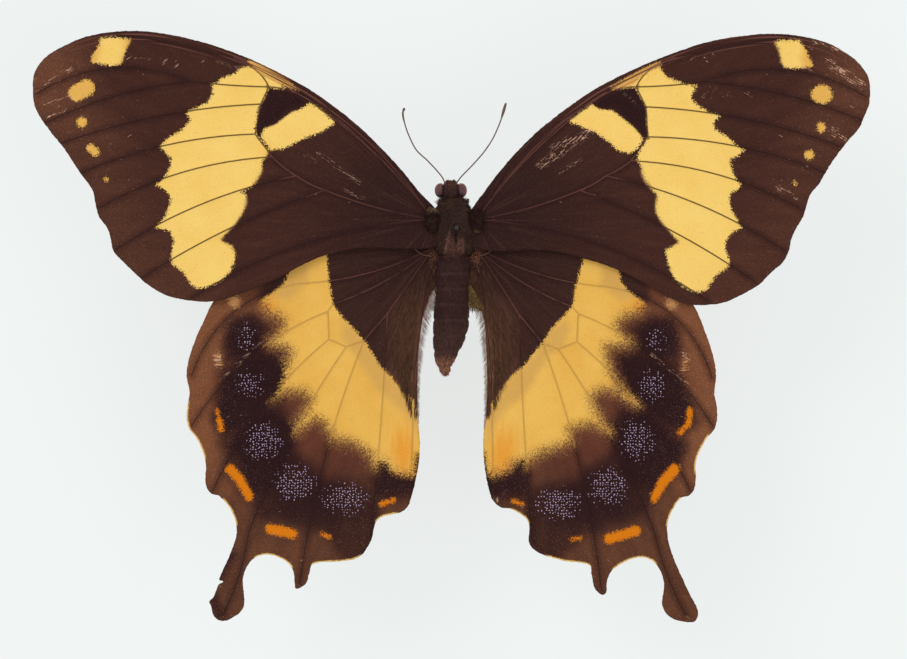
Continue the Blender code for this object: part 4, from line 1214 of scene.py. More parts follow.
HINDWING_MARKS_LEFT = Marks(
    yellow=(Patch([
        (325, 240), (327, 262), (330, 290), (333, 304), (340, 315), (352, 327), (360, 336), (366, 343),
        (372, 353), (380, 366), (392, 378), (402, 392), (412, 398), (418, 410), (424, 480), (340, 520),
        (200, 420), (200, 330), (248, 314), (252, 309), (258, 301), (270, 294), (281, 286), (286, 279),
        (290, 270), (294, 240),
    ]),),
    dusk=(Patch([
        (205, 250), (260, 262), (263, 276), (265, 287), (262, 297), (265, 306), (270, 312), (277, 316),
        (282, 321), (283, 327), (279, 335), (273, 343), (286, 345), (291, 352), (290, 360), (285, 372),
        (278, 385), (272, 395), (290, 390), (303, 392), (312, 400), (305, 415), (297, 430), (303, 425),
        (315, 418), (325, 423), (335, 439), (350, 441), (362, 446), (372, 455), (375, 462), (385, 462),
        (390, 468), (400, 473), (412, 475), (420, 480), (440, 520), (400, 640), (150, 660), (140, 400),
    ]),),
    deep=(
        Patch([
            (377, 460), (388, 464), (393, 472), (404, 476.5), (412, 476.5), (413.5, 466), (415, 453),
            (424, 452), (424, 480), (416, 492), (395, 494), (376, 493),
        ]),
        Oval(244, 338, 17, 19),
        Patch([
            (286, 361), (268, 356), (246, 362), (228, 376), (218, 398), (214, 420), (226, 434), (246, 424),
            (264, 410), (279, 394), (286, 376),
        ]),
        Patch([
            (296, 424), (268, 410), (240, 426), (228, 446), (238, 462), (254, 496), (272, 488), (288, 458),
        ]),
        Stroke((230, 557), (221, 577), 1.6), Stroke((213, 598), (219, 616), 1.6),
    ),
    lilac=(
        Oval(247, 338, 8.5, 12.5), Oval(250, 383, 13.5, 12.5), Oval(263, 441, 18, 20), Oval(295, 483, 20, 19),
        Oval(345, 499, 22, 16),
    ),
    rust=(
        Stroke((230, 469), (240, 480), 4.6), Stroke((240, 480), (249, 497), 4.2),
        Stroke((270, 529), (292, 534), 4.8), Stroke((217, 409), (219, 420), 1.3),
        Stroke((219, 420), (221, 429), 2.8), Stroke((381, 504.5), (393, 500.5), 2.3),
        Stroke((322, 534.5), (330, 537.5), 1.5),
    ),
    ochre=(Oval(403, 455, 9, 24), Oval(264, 306, 9, 5)),
    dull=(
        Patch([
            (342, 318), (353, 328), (364, 340), (373, 354), (384, 368), (396, 382), (410, 398), (419, 414),
            (420, 440), (411, 424), (398, 410), (384, 396), (372, 378), (360, 362), (350, 350), (342, 340),
        ]),
        Patch([(310, 262), (292, 270), (286, 284), (268, 298), (290, 298), (306, 282)]),
    ),
    gold=(Oval(234, 302, 5.5, 5.5), Stroke((217, 354), (219, 364), 2.2)),
    rubbed=(Oval(217, 358, 4, 9), Stroke((262, 340), (222, 380), 1.3)),
    fringe=(
        Oval(194, 436, 15, 36), Oval(232, 510, 13, 17), Oval(278, 558, 24, 12), Oval(334, 558, 28, 11),
        Oval(386, 517, 13, 10),
    ),
    murk=(
        Patch([
            (232, 322), (252, 318), (270, 326), (280, 345), (290, 365), (280, 392), (284, 412), (290, 444),
            (302, 464), (326, 480), (354, 486), (374, 488), (376, 510), (378, 540), (366, 562), (342, 556),
            (322, 532), (296, 524), (262, 518), (246, 500), (226, 468), (218, 440), (216, 400), (222, 360),
        ]),
        Oval(396, 486, 26, 16),
    ),
)

THORAX = [
    (5.9, -0.5, 0.3, 0.0, 0.0),
    (5.2, -0.5, 0.2, 2.0, 1.9),
    (4.0, -0.35, 0.1, 3.0, 2.8),
    (2.2, -0.2, 0.0, 3.7, 3.5),
    (0.0, -0.1, 0.0, 3.8, 3.7),
    (-2.4, -0.1, -0.1, 3.6, 3.6),
    (-4.3, -0.1, -0.2, 3.3, 3.2),
    (-5.2, -0.1, -0.3, 0.0, 0.0),
]
SCUTELLUM = [
    (-1.0, -0.1, 2.3, 0.0, 0.0),
    (-1.8, -0.1, 2.4, 1.5, 1.3),
    (-3.0, -0.1, 2.1, 1.5, 1.4),
    (-4.4, -0.1, 1.6, 0.9, 1.1),
    (-5.0, -0.1, 1.3, 0.0, 0.0),
]
COLLAR = [
    (5.5, -0.5, 0.9, 0.0, 0.0),
    (4.9, -0.5, 1.0, 2.5, 1.5),
    (4.2, -0.45, 1.0, 3.0, 1.9),
    (3.4, -0.4, 1.0, 0.0, 0.0),
]
ABDOMEN = [
    (-3.6, -0.2, -0.3, 0.0, 0.0),
    (-5.2, -0.25, -0.3, 3.1, 2.9),
    (-8.0, -0.4, -0.3, 3.2, 3.0),
    (-11.2, -0.6, -0.35, 3.2, 3.1),
    (-17.1, -0.7, -0.5, 3.35, 3.1),
    (-20.2, -1.1, -0.6, 3.0, 2.75),
    (-22.9, -1.65, -0.7, 2.2, 2.1),
    (-24.8, -1.9, -0.8, 1.4, 1.4),
    (-26.4, -1.7, -0.8, 0.0, 0.0),
]
HEAD_X = -0.76
HEAD = [
    (4.6, -0.6, 0.2, 0.0, 0.0),
    (5.6, -0.65, 0.2, 1.5, 1.5),
    (6.6, HEAD_X, 0.2, 1.8, 1.9),
    (7.6, HEAD_X, 0.1, 1.6, 1.65),
    (8.2, HEAD_X, 0.0, 1.05, 1.15),
    (8.5, HEAD_X, -0.1, 0.0, 0.0),
]
BODY_FORMS = {"thorax": THORAX, "scutellum": SCUTELLUM, "collar": COLLAR, "abdomen": ABDOMEN, "head": HEAD}
SEGMENT = 2.8  # millimetres from ring to ring of the abdomen
PALP = [(0.45, 7.0, -1.2), (0.5, 7.9, -1.4), (0.45, 8.1, -0.8), (0.35, 7.9, -0.2)]
PALP_RADII = (0.45, 0.4, 0.33, 0.15)
BODY_X = -0.1
ANTENNAE = {
    Side.LEFT: [
        (-1.6, 7.6, 0.8), (-2.4, 9.3, 1.5), (-4.9, 12.1, 2.0), (-6.9, 14.0, 2.3),
        (-8.1, 16.2, 2.5), (-8.9, 18.3, 2.7), (-9.4, 20.6, 2.8), (-9.1, 21.7, 2.8),
    ],
    Side.RIGHT: [
        (0.0, 7.6, 0.8), (0.9, 9.0, 1.5), (3.2, 11.4, 2.0), (5.2, 13.7, 2.3),
        (6.8, 16.1, 2.5), (8.1, 19.0, 2.7), (8.7, 20.9, 2.8), (9.2, 22.6, 2.8),
    ],
}
FEELER_TIPS = {Side.LEFT: (0.12, 0.18, 0.13), Side.RIGHT: (0.12, 0.27, 0.0)}
BRISTLES = {
    Side.LEFT: [(-8.5, -2.3, 1.75), (-7.2, -3.8, 1.5), (-6.0, -4.7, 1.3), (-4.2, -5.1, 0.9)],
    Side.RIGHT: [(7.5, -3.2, 1.7), (6.8, -3.8, 1.5), (5.9, -4.5, 1.3), (4.3, -5.1, 0.9)],
}
LEGS = {
    "front": [(1.0, 3.2, -2.0), (2.4, 5.2, -2.7), (2.3, 1.9, -5.5), (1.9, -1.2, -6.9)],
    "middle": [(1.7, 0.6, -2.6), (3.9, 1.8, -5.2), (3.7, -3.9, -6.2), (3.0, -8.0, -6.6)],
    "hind": [(1.6, -2.2, -2.6), (3.5, -5.2, -4.6), (2.5, -10.6, -5.6), (1.6, -15.4, -5.4)],
}
PALE_SEAMS = (
    ((449.3, 231), (447, 244), (443.6, 252)),
    ((458.2, 238), (458.6, 246)),
    ((462.6, 237), (463, 251)),
)
# The groove behind the pin, where the body's finish paints shade.
PIN_GROOVE = ((456, 230), (456, 241))

# The coat's numbers: places along the body in millimetres, and the number at each of them.
COAT_CROWD = ((-26, -22, -6, -4, 4, 6, 9), (1.6, 0.8, 0.7, 1.1, 1.2, 1.8, 2.4))
COAT_LENGTH = (
    (-26, -23, -20, -6, -4.5, 0, 4.0, 5.2, 6.0, 7.0, 9.0),
    (1.0, 0.75, 0.5, 0.5, 1.0, 0.8, 0.8, 0.9, 0.7, 0.5, 0.5),
)
COAT_LIFT = ((-26, -22, -6, -4, 4, 5.4, 6.5, 8), (0.30, 0.16, 0.10, 0.25, 0.25, 0.3, 0.3, 0.4))
COAT_WIDTH = ((-6, -4), (1.5, 1.0))

TUFT_POINTS = 7
TUFT_FACES = ((0, 1, 4, 3), (1, 2, 5, 4), (2, 0, 3, 5), (3, 4, 6), (4, 5, 6), (5, 3, 6), (0, 2, 1))
TUFT_SPOTS = np.array([(-1, -1), (1, -1), (0, -0.6), (-1, 0.2), (1, 0.2), (0, 0.4), (0, 1)])


def body_point(x: float, y: float, z: float) -> Vector:
    """A place in metres, given in millimetres from the pin on the body's axis."""
    return Vector((x * MM, y * MM, (BODY_HEIGHT + z) * MM))


def station_at(stations: list, share: float) -> tuple[float, ...]:
    """The section of a body form at a share of its length.

    Args:
        stations: Rows of y, x, z, half width and half height in millimetres.
        share: 0 at the first row and 1 at the last.

    Returns:
        The section's y, x, z, half width and half height.
    """
    rows = np.array(stations)
    y = rows[0, 0] + share * (rows[-1, 0] - rows[0, 0])
    sign = np.sign(rows[-1, 0] - rows[0, 0])
    low = int(np.clip(np.searchsorted(sign * rows[:, 0], sign * y) - 1, 0, len(rows) - 2))
    high = low + 1
    before, after = max(low - 1, 0), min(high + 1, len(rows) - 1)
    span = rows[high, 0] - rows[low, 0]
    part = (y - rows[low, 0]) / span
    values = rows[:, 1:].copy()
    values[:, 2:] **= 2
    first = (values[high] - values[before]) / (rows[high, 0] - rows[before, 0])
    last = (values[after] - values[low]) / (rows[after, 0] - rows[low, 0])
    cube = part * part * (3 - 2 * part)
    found = values[low] * (1 - cube) + values[high] * cube
    found = found + span * (first * part * (1 - part) ** 2 + last * part * part * (part - 1))
    found[2:] = np.sqrt(np.maximum(found[2:], 0.0))
    return (y, *found)


def drawn_tube(name: str, points: list, radii: list[float], sides: int = 3) -> Thing:
    """A round tube along a line.

    Args:
        name: The piece's name.
        points: The line's points in metres.
        radii: The tube's radius in metres at each point.
        sides: The curve's bevel resolution.

    Returns:
        The tube as a closed mesh.
    """
    curve = bpy.data.curves.new(name, "CURVE")
    curve.dimensions = "3D"
    curve.bevel_depth = 1.0
    curve.bevel_resolution = sides
    curve.use_fill_caps = True
    spline = curve.splines.new("POLY")
    spline.points.add(len(points) - 1)
    for place, point, radius in zip(spline.points, points, radii):
        place.co = (*point, 1.0)
        place.radius = radius
    select_only(linked(name, curve))
    bpy.ops.object.convert(target="MESH")
    made = bpy.context.object
    made.data.materials.clear()
    bpy.ops.object.mode_set(mode="EDIT")
    bpy.ops.mesh.select_all(action="SELECT")
    bpy.ops.mesh.remove_doubles(threshold=0.001 * MM)
    bpy.ops.mesh.normals_make_consistent(inside=False)
    bpy.ops.object.mode_set(mode="OBJECT")
    made.data.shade_smooth()
    return made


def join_pieces(name: str, things: list[Thing]) -> Thing:
    """Join mesh objects into one with this name."""
    select_only(*things)
    bpy.ops.object.join()
    made = bpy.context.object
    made.name = name
    made.data.name = name
    return made


def unit_ball(name: str, segments: int, rings: int) -> Thing:
    """A ball of radius 1 about the origin."""
    bpy.ops.object.select_all(action="DESELECT")
    bpy.ops.mesh.primitive_uv_sphere_add(segments=segments, ring_count=rings, radius=1.0)
    ball = bpy.context.object
    ball.name = name
    ball.data.name = name
    return ball


def stretched_ball(name: str, centre: tuple, radii: tuple, segments: int = 40, rings: int = 26) -> Thing:
    """A ball drawn out to three radii about a body point, all in millimetres."""
    ball = unit_ball(name, segments, rings)
    move_corners(ball, read_corners(ball) * np.array(radii) * MM + np.array(body_point(*centre)))
    ball.data.shade_smooth()
    return ball


@dataclass(frozen=True)
class BodyFinish:
    """Dark fur and scales of the body, the same on skin and tufts, and painted shade behind the pin."""

    abdomen: Colour = tone(63, 36, 33)
    abdomen_low: Colour = tone(78, 50, 44)
    thorax: Colour = tone(68, 44, 39)
    shield: Colour = tone(112, 72, 60)
    olive: Colour = tone(86, 61, 46)
    head: Colour = tone(74, 47, 42)
    brow: Colour = tone(92, 56, 48)
    tip: Colour = tone(150, 100, 76)
    seam: Colour = tone(150, 108, 92)
    # painted shade in the groove behind the pin
    groove: Colour = tone(22, 14, 14)
    ring: Colour = tone(100, 68, 58)

    def paint(self) -> Material:
        """Build the material."""
        paint = Paint("body fur", roughness=0.75, specular_ior_level=0.2)
        grain = paint.noise(0.3 * MM, 3.0)
        cloud = paint.noise(2.2 * MM, 3.0)
        y = paint.axis("Y")
        tint = paint.attribute("tint")
        colour = paint.mix(y.step(-4.2, -5.4), self.thorax, self.abdomen)
        colour = paint.mix(y.step(-14.0, -22.0), colour, self.abdomen_low)
        olive = (cloud - 0.40).held() * 3.0 * y.step(-6.0, -3.0)
        colour = paint.mix(olive.held() * 0.7, colour, self.olive)
        x = paint.axis("X") + 0.2
        shield = y.step(-0.8, -2.6) * y.step(-5.6, -4.6) * (x * x).step(4.6, 1.6) * (cloud * 0.8 + 0.3)
        colour = paint.mix(shield.held(), colour, self.shield)
        colour = paint.mix(y.step(4.6, 6.2), colour, self.head)
        colour = paint.mix(y.step(7.0, 7.9), colour, self.brow)
        colour = paint.mix((y + grain.swing(3.0)).step(-22.6, -24.4), colour, self.tip)
        ring = (y * (2 * math.pi / SEGMENT) + 1.0).sine().step(0.7, 1.0) * y.step(-6.0, -7.0)
        colour = paint.mix(ring * 0.15, colour, self.ring)
        seam = (paint.attribute("seam") + grain.swing(0.3)).step(0.26, 0.06)
        colour = paint.mix(seam * 0.6, colour, self.seam)
        # Painted shade: a near-black line along the groove behind the pin.
        groove = paint.attribute("groove").step(0.45, 0.15)
        colour = paint.mix(groove * 0.8, colour, self.groove)
        colour = paint.shade(colour, tint * 0.9 + 0.5 + grain.swing(0.5))
        hairs = paint.noise(1.0, 3.0, paint.vector(paint.axis("X") * 9.0, y * 1.1, paint.axis("Z") * 9.0))
        return paint.finish(colour, 0.62 + grain * 0.25, hairs * 0.7 + grain * 0.3, 0.08 * MM)


@dataclass
class Tufts:
    """Many tufts of hair, each a thin three-sided blade: arrays with one row a tuft, in millimetres."""

    roots: np.ndarray
    normals: np.ndarray
    lies: np.ndarray
    lengths: np.ndarray
    widths: np.ndarray
    lifts: np.ndarray
    places: np.ndarray
    sunk: float = 0.12
    patch: float = 0.0015

    def build(self, name: str) -> Thing:
        """Build the tufts as one mesh.

        Args:
            name: The piece's name.

        Returns:
            The mesh, with each tuft's patch in the UV map OFBake.
        """
        lies = self.lies - np.einsum("ij,ij->i", self.lies, self.normals)[:, None] * self.normals
        lies /= np.maximum(np.linalg.norm(lies, axis=1), 1e-9)[:, None]
        aside = np.cross(lies, self.normals)
        long, wide, lift = self.lengths[:, None], self.widths[:, None], self.lifts[:, None]
        base = self.roots - self.normals * self.sunk - lies * self.sunk * 0.5
        middle = self.roots + lies * long * 0.5 + self.normals * (long * lift * 0.65 + 0.03)
        tip = self.roots + lies * long * np.sqrt(np.maximum(1 - lift**2, 0.05)) + self.normals * long * lift
        rings = []
        for centre, share in ((base, 0.8), (middle, 1.0)):
            spread, height = aside * wide * share, self.normals * wide * share * 0.7
            rings += [centre + spread, centre - spread, centre + height]
        corners = np.stack([*rings, tip], axis=1)
        start = (np.arange(len(corners)) * TUFT_POINTS)[:, None]
        faces = [face for part in TUFT_FACES for face in (start + part).tolist()]
        made = mesh_piece(name, corners.reshape(-1, 3) * MM, faces)
        patches = (self.places[:, None, :] + TUFT_SPOTS * self.patch).reshape(-1, 2)
        numbers = read_rows(made.data.loops, "vertex_index", 1, int).ravel()
        layer = made.data.uv_layers.new(name="OFBake")
        layer.data.foreach_set("uv", patches[numbers].ravel().astype(np.float32))
        made.data.shade_smooth()
        return made


def unwrap(thing: Thing) -> None:
    """Unwrap a skin's own shape into its UV map."""
    select_only(thing)
    thing.data.uv_layers.new(name="UVMap")
    bpy.ops.object.mode_set(mode="EDIT")
    bpy.ops.mesh.select_all(action="SELECT")
    bpy.ops.uv.smart_project(angle_limit=math.radians(66), island_margin=0.002)
    bpy.ops.object.mode_set(mode="OBJECT")


def spread_roots(skin: Thing, weights: np.ndarray, count: int, seed: int) -> tuple:
    """Draw places for tufts over a skin's triangles.

    Args:
        skin: The unwrapped skin.
        weights: How closely they stand at each of the skin's points.
        count: How many to draw.
        seed: The random draw's seed.

    Returns:
        Places in millimetres, normals, and places in the skin's UV map.
    """
    mesh = skin.data
    mesh.calc_loop_triangles()
    corners = read_rows(mesh.loop_triangles, "vertices", 3, int)
    loops = read_rows(mesh.loop_triangles, "loops", 3, int)
    points, normals = read_corners(skin) / MM, read_rows(mesh.vertices, "normal", 3)
    uv = read_rows(mesh.uv_layers.active.data, "uv", 2)
    a, b, c = (points[corners[:, i]] for i in range(3))
    area = np.linalg.norm(np.cross(b - a, c - a), axis=1) * weights[corners].mean(axis=1)
    random = np.random.default_rng(seed)
    drawn = random.choice(len(corners), count, p=area / area.sum())
    first, second = random.random(count), random.random(count)
    over = first + second > 1
    first[over], second[over] = 1 - first[over], 1 - second[over]
    shares = np.stack([1 - first - second, first, second], axis=1)[:, :, None]
    roots = (points[corners[drawn]] * shares).sum(axis=1)
    lean = (normals[corners[drawn]] * shares).sum(axis=1)
    lean /= np.linalg.norm(lean, axis=1)[:, None]
    return roots, lean, (uv[loops[drawn]] * shares).sum(axis=1)


@dataclass
class Body:
    """Head, thorax, abdomen and palps under one skin, with their coat."""

    coat_depth: float = 0.22
    voxel: float = 0.17
    groove_depth: float = 0.13
    tuft_count: int = 17000
    seed: int = 41

    def form(self, name: str, stations: list) -> Thing:
        """A ball drawn out along a body form's stations, inside it by the coat's depth."""
        ball = unit_ball(name, 40, 60)
        sign = math.copysign(1.0, stations[-1][0] - stations[0][0])
        shaped = []
        for x, y, z in read_corners(ball):
            at_y, at_x, at_z, width, height = station_at(stations, (1 - z) / 2)
            around = math.hypot(x, y)
            across, up = (x / around, y / around) if around > 1e-6 else (0.0, 0.0)
            inside = self.coat_depth * min(1.0, around * 2)
            shaped.append(body_point(
                at_x + across * max(width - inside, 0.0), at_y + sign * z * self.coat_depth,
                at_z + up * max(height - inside, 0.0),
            ))
        move_corners(ball, np.array(shaped))
        return ball

    def skin(self) -> Thing:
        """The one closed skin, with grooves between the abdomen's segments and over the thorax."""
        forms = [self.form(f"{name} form", stations) for name, stations in BODY_FORMS.items()]
        for side in Side:
            line = smooth_line([body_point(HEAD_X + side.value * x, y, z) for x, y, z in PALP], 0.3 * MM)
            radii = np.interp(np.linspace(0, 3, len(line)), range(4), PALP_RADII) * MM
            forms.append(drawn_tube("palp form", line, list(radii)))
        skin = join_pieces("body_skin", forms)
        apply_modifier(skin, "REMESH", mode="VOXEL", voxel_size=self.voxel * MM)
        apply_modifier(skin, "SMOOTH", factor=0.6, iterations=5)
        points = read_corners(skin) / MM
        x, y, z = points.T
        on_abdomen = ramp(y, -5.4, -6.0) * ramp(y, -25.6, -24.6)
        rings = np.abs(np.cos(np.pi * (y + 5.2) / SEGMENT)) ** 10
        furrow = np.exp(-((np.abs(x - BODY_X) - 1.9 + 0.28 * y) / 0.25) ** 2)
        middle = np.exp(-((x - BODY_X) / 0.16) ** 2)
        on_thorax = ramp(z - BODY_HEIGHT, 1.5, 2.3) * ramp(y, -3.0, -2.0) * ramp(y, 3.8, 2.8)
        sunk = self.groove_depth * (rings * on_abdomen + (furrow + middle * 0.6) * on_thorax)
        points -= read_rows(skin.data.vertices, "normal", 3) * sunk[:, None]
        move_corners(skin, points * MM)
        skin.data.shade_smooth()
        unwrap(skin)
        self.mark(skin, points, np.full(len(points), 0.35))
        return skin

    def mark(self, thing: Thing, points: np.ndarray, tint: np.ndarray) -> None:
        """Keep what the body's finish reads, worked out at these places in millimetres.

        Args:
            thing: The skin or the coat.
            points: The place of each of its points.
            tint: How light each of its points is.
        """
        pixels = PIN_PIXEL + points[:, :2] * (1, -1) / PIXEL
        seam = np.min([distance_to_line(pixels, np.array(line, float)) for line in PALE_SEAMS], axis=0)
        under = np.clip(BODY_HEIGHT + 1.0 - points[:, 2], 0, None) * 4
        # Distance to the groove behind the pin, where the finish paints shade.
        groove = distance_to_line(pixels, np.array(PIN_GROOVE, float))
        keep_numbers(thing, "seam", seam * PIXEL + under)
        keep_numbers(thing, "groove", groove * PIXEL + under)
        keep_numbers(thing, "tint", tint)

    def coat(self, skin: Thing) -> Thing:
        """Tufts over the skin: short and flat on the abdomen, longer on the thorax and the brow."""
        weights = np.interp(read_corners(skin)[:, 1] / MM, *COAT_CROWD)
        roots, normals, places = spread_roots(skin, weights, self.tuft_count, self.seed)
        random = np.random.default_rng(self.seed + 1)
        count = len(roots)
        y, aside = roots[:, 1], roots[:, 0] - HEAD_X
        lies = np.tile((0.0, -1.0, 0.0), (count, 1)) + random.normal(0, 0.28, (count, 3))
        brow = ramp(y, 5.6, 7.0)[:, None]
        lies = lies * (1 - brow) + (np.array((0.0, 1.0, 0.3)) + random.normal(0, 0.4, (count, 3))) * brow
        neck = np.exp(-((y - 4.8) / 0.6) ** 2) * ramp(np.abs(aside), 1.1, 1.6)
        forward = np.column_stack([0.1 * np.sign(aside), np.ones(count), np.full(count, 0.15)])
        lies = lies * (1 - neck[:, None]) + (forward + random.normal(0, 0.18, (count, 3))) * neck[:, None]
        low = ramp(roots[:, 2], BODY_HEIGHT, BODY_HEIGHT - 2.5)
        longer = 1 + 0.5 * low * (y > -5) * (1 - neck) + 0.6 * neck
        lengths = np.interp(y, *COAT_LENGTH) * random.uniform(0.7, 1.25, count) * longer
        lifts = np.interp(y, *COAT_LIFT) * random.uniform(0.6, 1.4, count)
        widths = random.uniform(0.035, 0.07, count) * np.interp(y, *COAT_WIDTH)
        coat = Tufts(roots, normals, lies, lengths, widths, lifts, places).build("body_coat")
        tint = random.uniform(0.2, 1.0, count) ** 1.2
        self.mark(coat, np.repeat(roots, TUFT_POINTS, axis=0), np.repeat(tint, TUFT_POINTS))
        return coat

    def build(self) -> None:
        """Build skin and coat and hand them over."""
        finish = BodyFinish().paint()
        skin = self.skin()
        coat = self.coat(skin)
        hand_over(skin, Slot.BODY, finish, "head", "thorax", "abdomen", "palp_left", "palp_right")
        hand_over(coat, Slot.BODY, finish)


@dataclass(frozen=True)
class EyeFinish:
    """Softly shining reddish brown facets, with a painted bluish grey glint and painted shade beside the
    head.
    """

    rim: Colour = tone(116, 58, 56)
    # painted highlight: the bluish grey glint on the eye's inner half
    bloom: Colour = tone(84, 62, 68)
    # painted shade beside the head, the darker rear of the eye, and the facets' edges
    dark: Colour = tone(46, 28, 30)

    def paint(self) -> Material:
        """Build the material."""
        paint = Paint("eye facets", roughness=0.4, specular_ior_level=0.3)
        distance = paint.cells(0.06 * MM, 0.25, flat=False)[0]
        cloud = paint.noise(0.7 * MM, 2.0)
        ring = paint.attribute("ring") + cloud.swing(0.5)
        y = paint.axis("Y") + cloud.swing(0.6)
        # Painted highlight: a bluish grey glint over the eye's inner half, behind its front.
        colour = paint.mix(ring.step(0.45, 0.05) * y.step(7.7, 7.0) * 0.85, self.rim, self.bloom)
        # Painted shade: the eye darkens where it curves into the gap beside the head.
        colour = paint.mix(ring.step(-0.2, -0.6), colour, self.dark)
        # Darker towards the rear of the eye.
        colour = paint.mix(y.step(6.4, 5.6) * 0.75, colour, self.dark)
        colour = paint.mix(distance.step(0.3, 0.55) * 0.5, colour, self.dark)
        return paint.finish(colour, 0.32 + distance * 0.2, 1 - distance, 0.02 * MM)


@dataclass(frozen=True)
class HornFinish:
    """Dark brown cuticle, softly shining, with fine rings and pits."""

    dark: Colour = tone(66, 44, 38)
    light: Colour = tone(118, 84, 70)

    def paint(self) -> Material:
        """Build the material."""
        paint = Paint("cuticle", roughness=0.42, specular_ior_level=0.45)
        grain = paint.noise(0.12 * MM, 3.0)
        cloud = paint.noise(1.3 * MM, 2.0)
        colour = paint.mix((cloud * 0.9 + (grain - 0.5)).held(), self.dark, self.light)
        return paint.finish(colour, 0.35 + grain * 0.3, grain, 0.03 * MM)


@dataclass
class Eye:
    """A compound eye in the side of the head."""

    side: Side
    out: float = 1.92
    centre: tuple[float, float] = (6.8, 0.15)
    radii: tuple[float, float, float] = (1.0, 1.3, 1.5)
    rim: float = 0.05
    rim_place: float = 0.35
    rim_width: float = 0.12

    def build(self, material: Material) -> None:
        """Build the eye with a low rim round it and hand it over."""
        place = (HEAD_X + self.side.value * self.out, *self.centre)
        name = f"eye_{self.side.word}"
        ball = stretched_ball(name, place, self.radii, 56, 40)
        corners = read_corners(ball) / MM
        towards_head = np.clip((self.side.value * (place[0] - corners[:, 0]) / self.radii[0] + 0.1), 0, 1)
        swell = self.rim * np.exp(-((towards_head - self.rim_place) / self.rim_width) ** 2)
        corners[:, 1:] += (corners[:, 1:] - (self.centre[0], BODY_HEIGHT + self.centre[1])) * swell[:, None]
        move_corners(ball, corners * MM)
        keep_numbers(ball, "ring", self.side.value * (corners[:, 0] - place[0]) / self.radii[0])
        hand_over(ball, Slot.EYES, material, name)


@dataclass
class Antenna:
    """A thin ringed feeler with its club."""

    side: Side
    radius: float = 0.12
    club: float = 0.27
    ball: float = 0.0
    club_start: float = 0.84
    ring: float = 0.09
    rings_each: int = 4
    ring_depth: float = 0.07

    def build(self, material: Material) -> None:
        """Build the feeler and hand it over."""
        knots = [body_point(*knot) for knot in ANTENNAE[self.side]]
        line = smooth_line(knots, self.ring * MM)
        radii = []
        for i in range(len(line)):
            share = i / (len(line) - 1)
            club = max(0.0, share - self.club_start) / (1 - self.club_start)
            swell = (self.club - self.radius) * math.sin(math.pi * min(club * 1.1, 1.0) * 0.85) ** 0.8
            ring = 1 - self.ring_depth * (i % self.rings_each == 0)
            socket = 0.1 * math.exp(-i / 3)
            end = 1.0 if i < len(line) - 3 else 0.8 - 0.3 * (i - len(line) + 3)
            ball = self.ball * math.exp(-(((len(line) - 1 - i) * self.ring - 0.28) / 0.2) ** 2)
            radii.append((self.radius + swell + socket + ball) * ring * end * MM)
        tube = drawn_tube(f"antenna_{self.side.word}", line, radii)
        hand_over(tube, Slot.HORN, material, f"antenna_{self.side.word}")


@dataclass
class Leg:
    """A folded leg: thigh, spurred shin, jointed foot and two claws."""

    side: Side
    place: str
    thigh: float = 0.34
    shin: float = 0.22
    foot: float = 0.15
    toes: int = 5
    bristles: int = 14

    @property
    def name(self) -> str:
        """The piece's name."""
        return f"leg_{self.place}_{self.side.word}"

    def tube(self, points: list[Vector], radii: np.ndarray | tuple, sides: int = 3) -> Thing:
        """A part of the leg along points in metres, its radii in millimetres."""
        return drawn_tube(self.name, points, [radius * MM for radius in radii], sides)

    def build(self, material: Material) -> None:
        """Build the leg and hand it over."""
        side = self.side.value
        body, knee, ankle, tip = (body_point(BODY_X + side * x, y, z) for x, y, z in LEGS[self.place])
        share, steps = np.linspace(0, 1, 13), np.linspace(0, 1, self.toes * 5 + 1)
        thigh = self.thigh * (0.6 + 0.5 * np.sin(np.pi * (0.15 + 0.8 * share)))
        shin = self.shin * (1.15 - 0.3 * share + 0.25 * np.exp(-share * 14))
        foot = self.foot * (1 - 0.3 * (np.arange(len(steps)) % 5 == 0))
        pieces = [
            self.tube([body.lerp(knee, s) for s in share], thigh),
            self.tube([knee.lerp(ankle, s) for s in share], shin),
            self.tube([ankle.lerp(tip, s) for s in steps], foot),
        ]
        along, down = (ankle - knee).normalized(), Vector((0, 0, -1))
        out = down.cross(along).normalized()
        for aside in (-out, out):
            spur = ankle + (along * 0.7 + aside * 0.45) * MM
            pieces.append(self.tube([ankle, spur], (0.06, 0.01), 1))
            bend, point = along * 0.25 + aside * 0.2, along * 0.4 + aside * 0.25 + down * 0.15
            pieces.append(self.tube([tip, tip + bend * MM, tip + point * MM], (0.08, 0.05, 0.01), 1))
        for s in np.linspace(0.15, 0.95, self.bristles):
            start = knee.lerp(ankle, s)
            aside = out if round(s * 100) % 2 else -out
            end = start + (along * 0.25 + aside * 0.4 + down * 0.2) * MM
            pieces.append(self.tube([start, end], (0.03, 0.008), 1))
        hand_over(join_pieces(self.name, pieces), Slot.HORN, material, self.name)


@dataclass
class Tongue:
    """The coiled tongue under the head, with fine rings."""

    centre: tuple[float, float] = (6.9, -3.7)
    radius: float = 1.65
    pitch: float = 0.85
    turns: float = 1.45
    tube: float = 0.2
    steps: int = 72
    base: tuple[tuple[float, float], ...] = ((7.7, -1.0), (8.25, -2.3), (8.5, -3.1))

    def build(self, material: Material) -> None:
        """Build the coil and hand it over."""
        line = smooth_line([body_point(HEAD_X, *knot) for knot in self.base], 0.12 * MM)
        for i in range(round(self.turns * self.steps) + 1):
            turned = i / self.steps
            reach = self.radius - self.pitch * turned
            angle = -2 * math.pi * turned
            line.append(body_point(
                HEAD_X, self.centre[0] + reach * math.cos(angle), self.centre[1] + reach * math.sin(angle)
            ))
        radii = []
        for i in range(len(line)):
            taper = 1.15 - 0.55 * i / len(line)
            radii.append(self.tube * taper * (0.93 if i % 3 == 0 else 1.0) * MM)
        coil = drawn_tube("proboscis", line, radii)
        hand_over(coil, Slot.HORN, material, "proboscis")


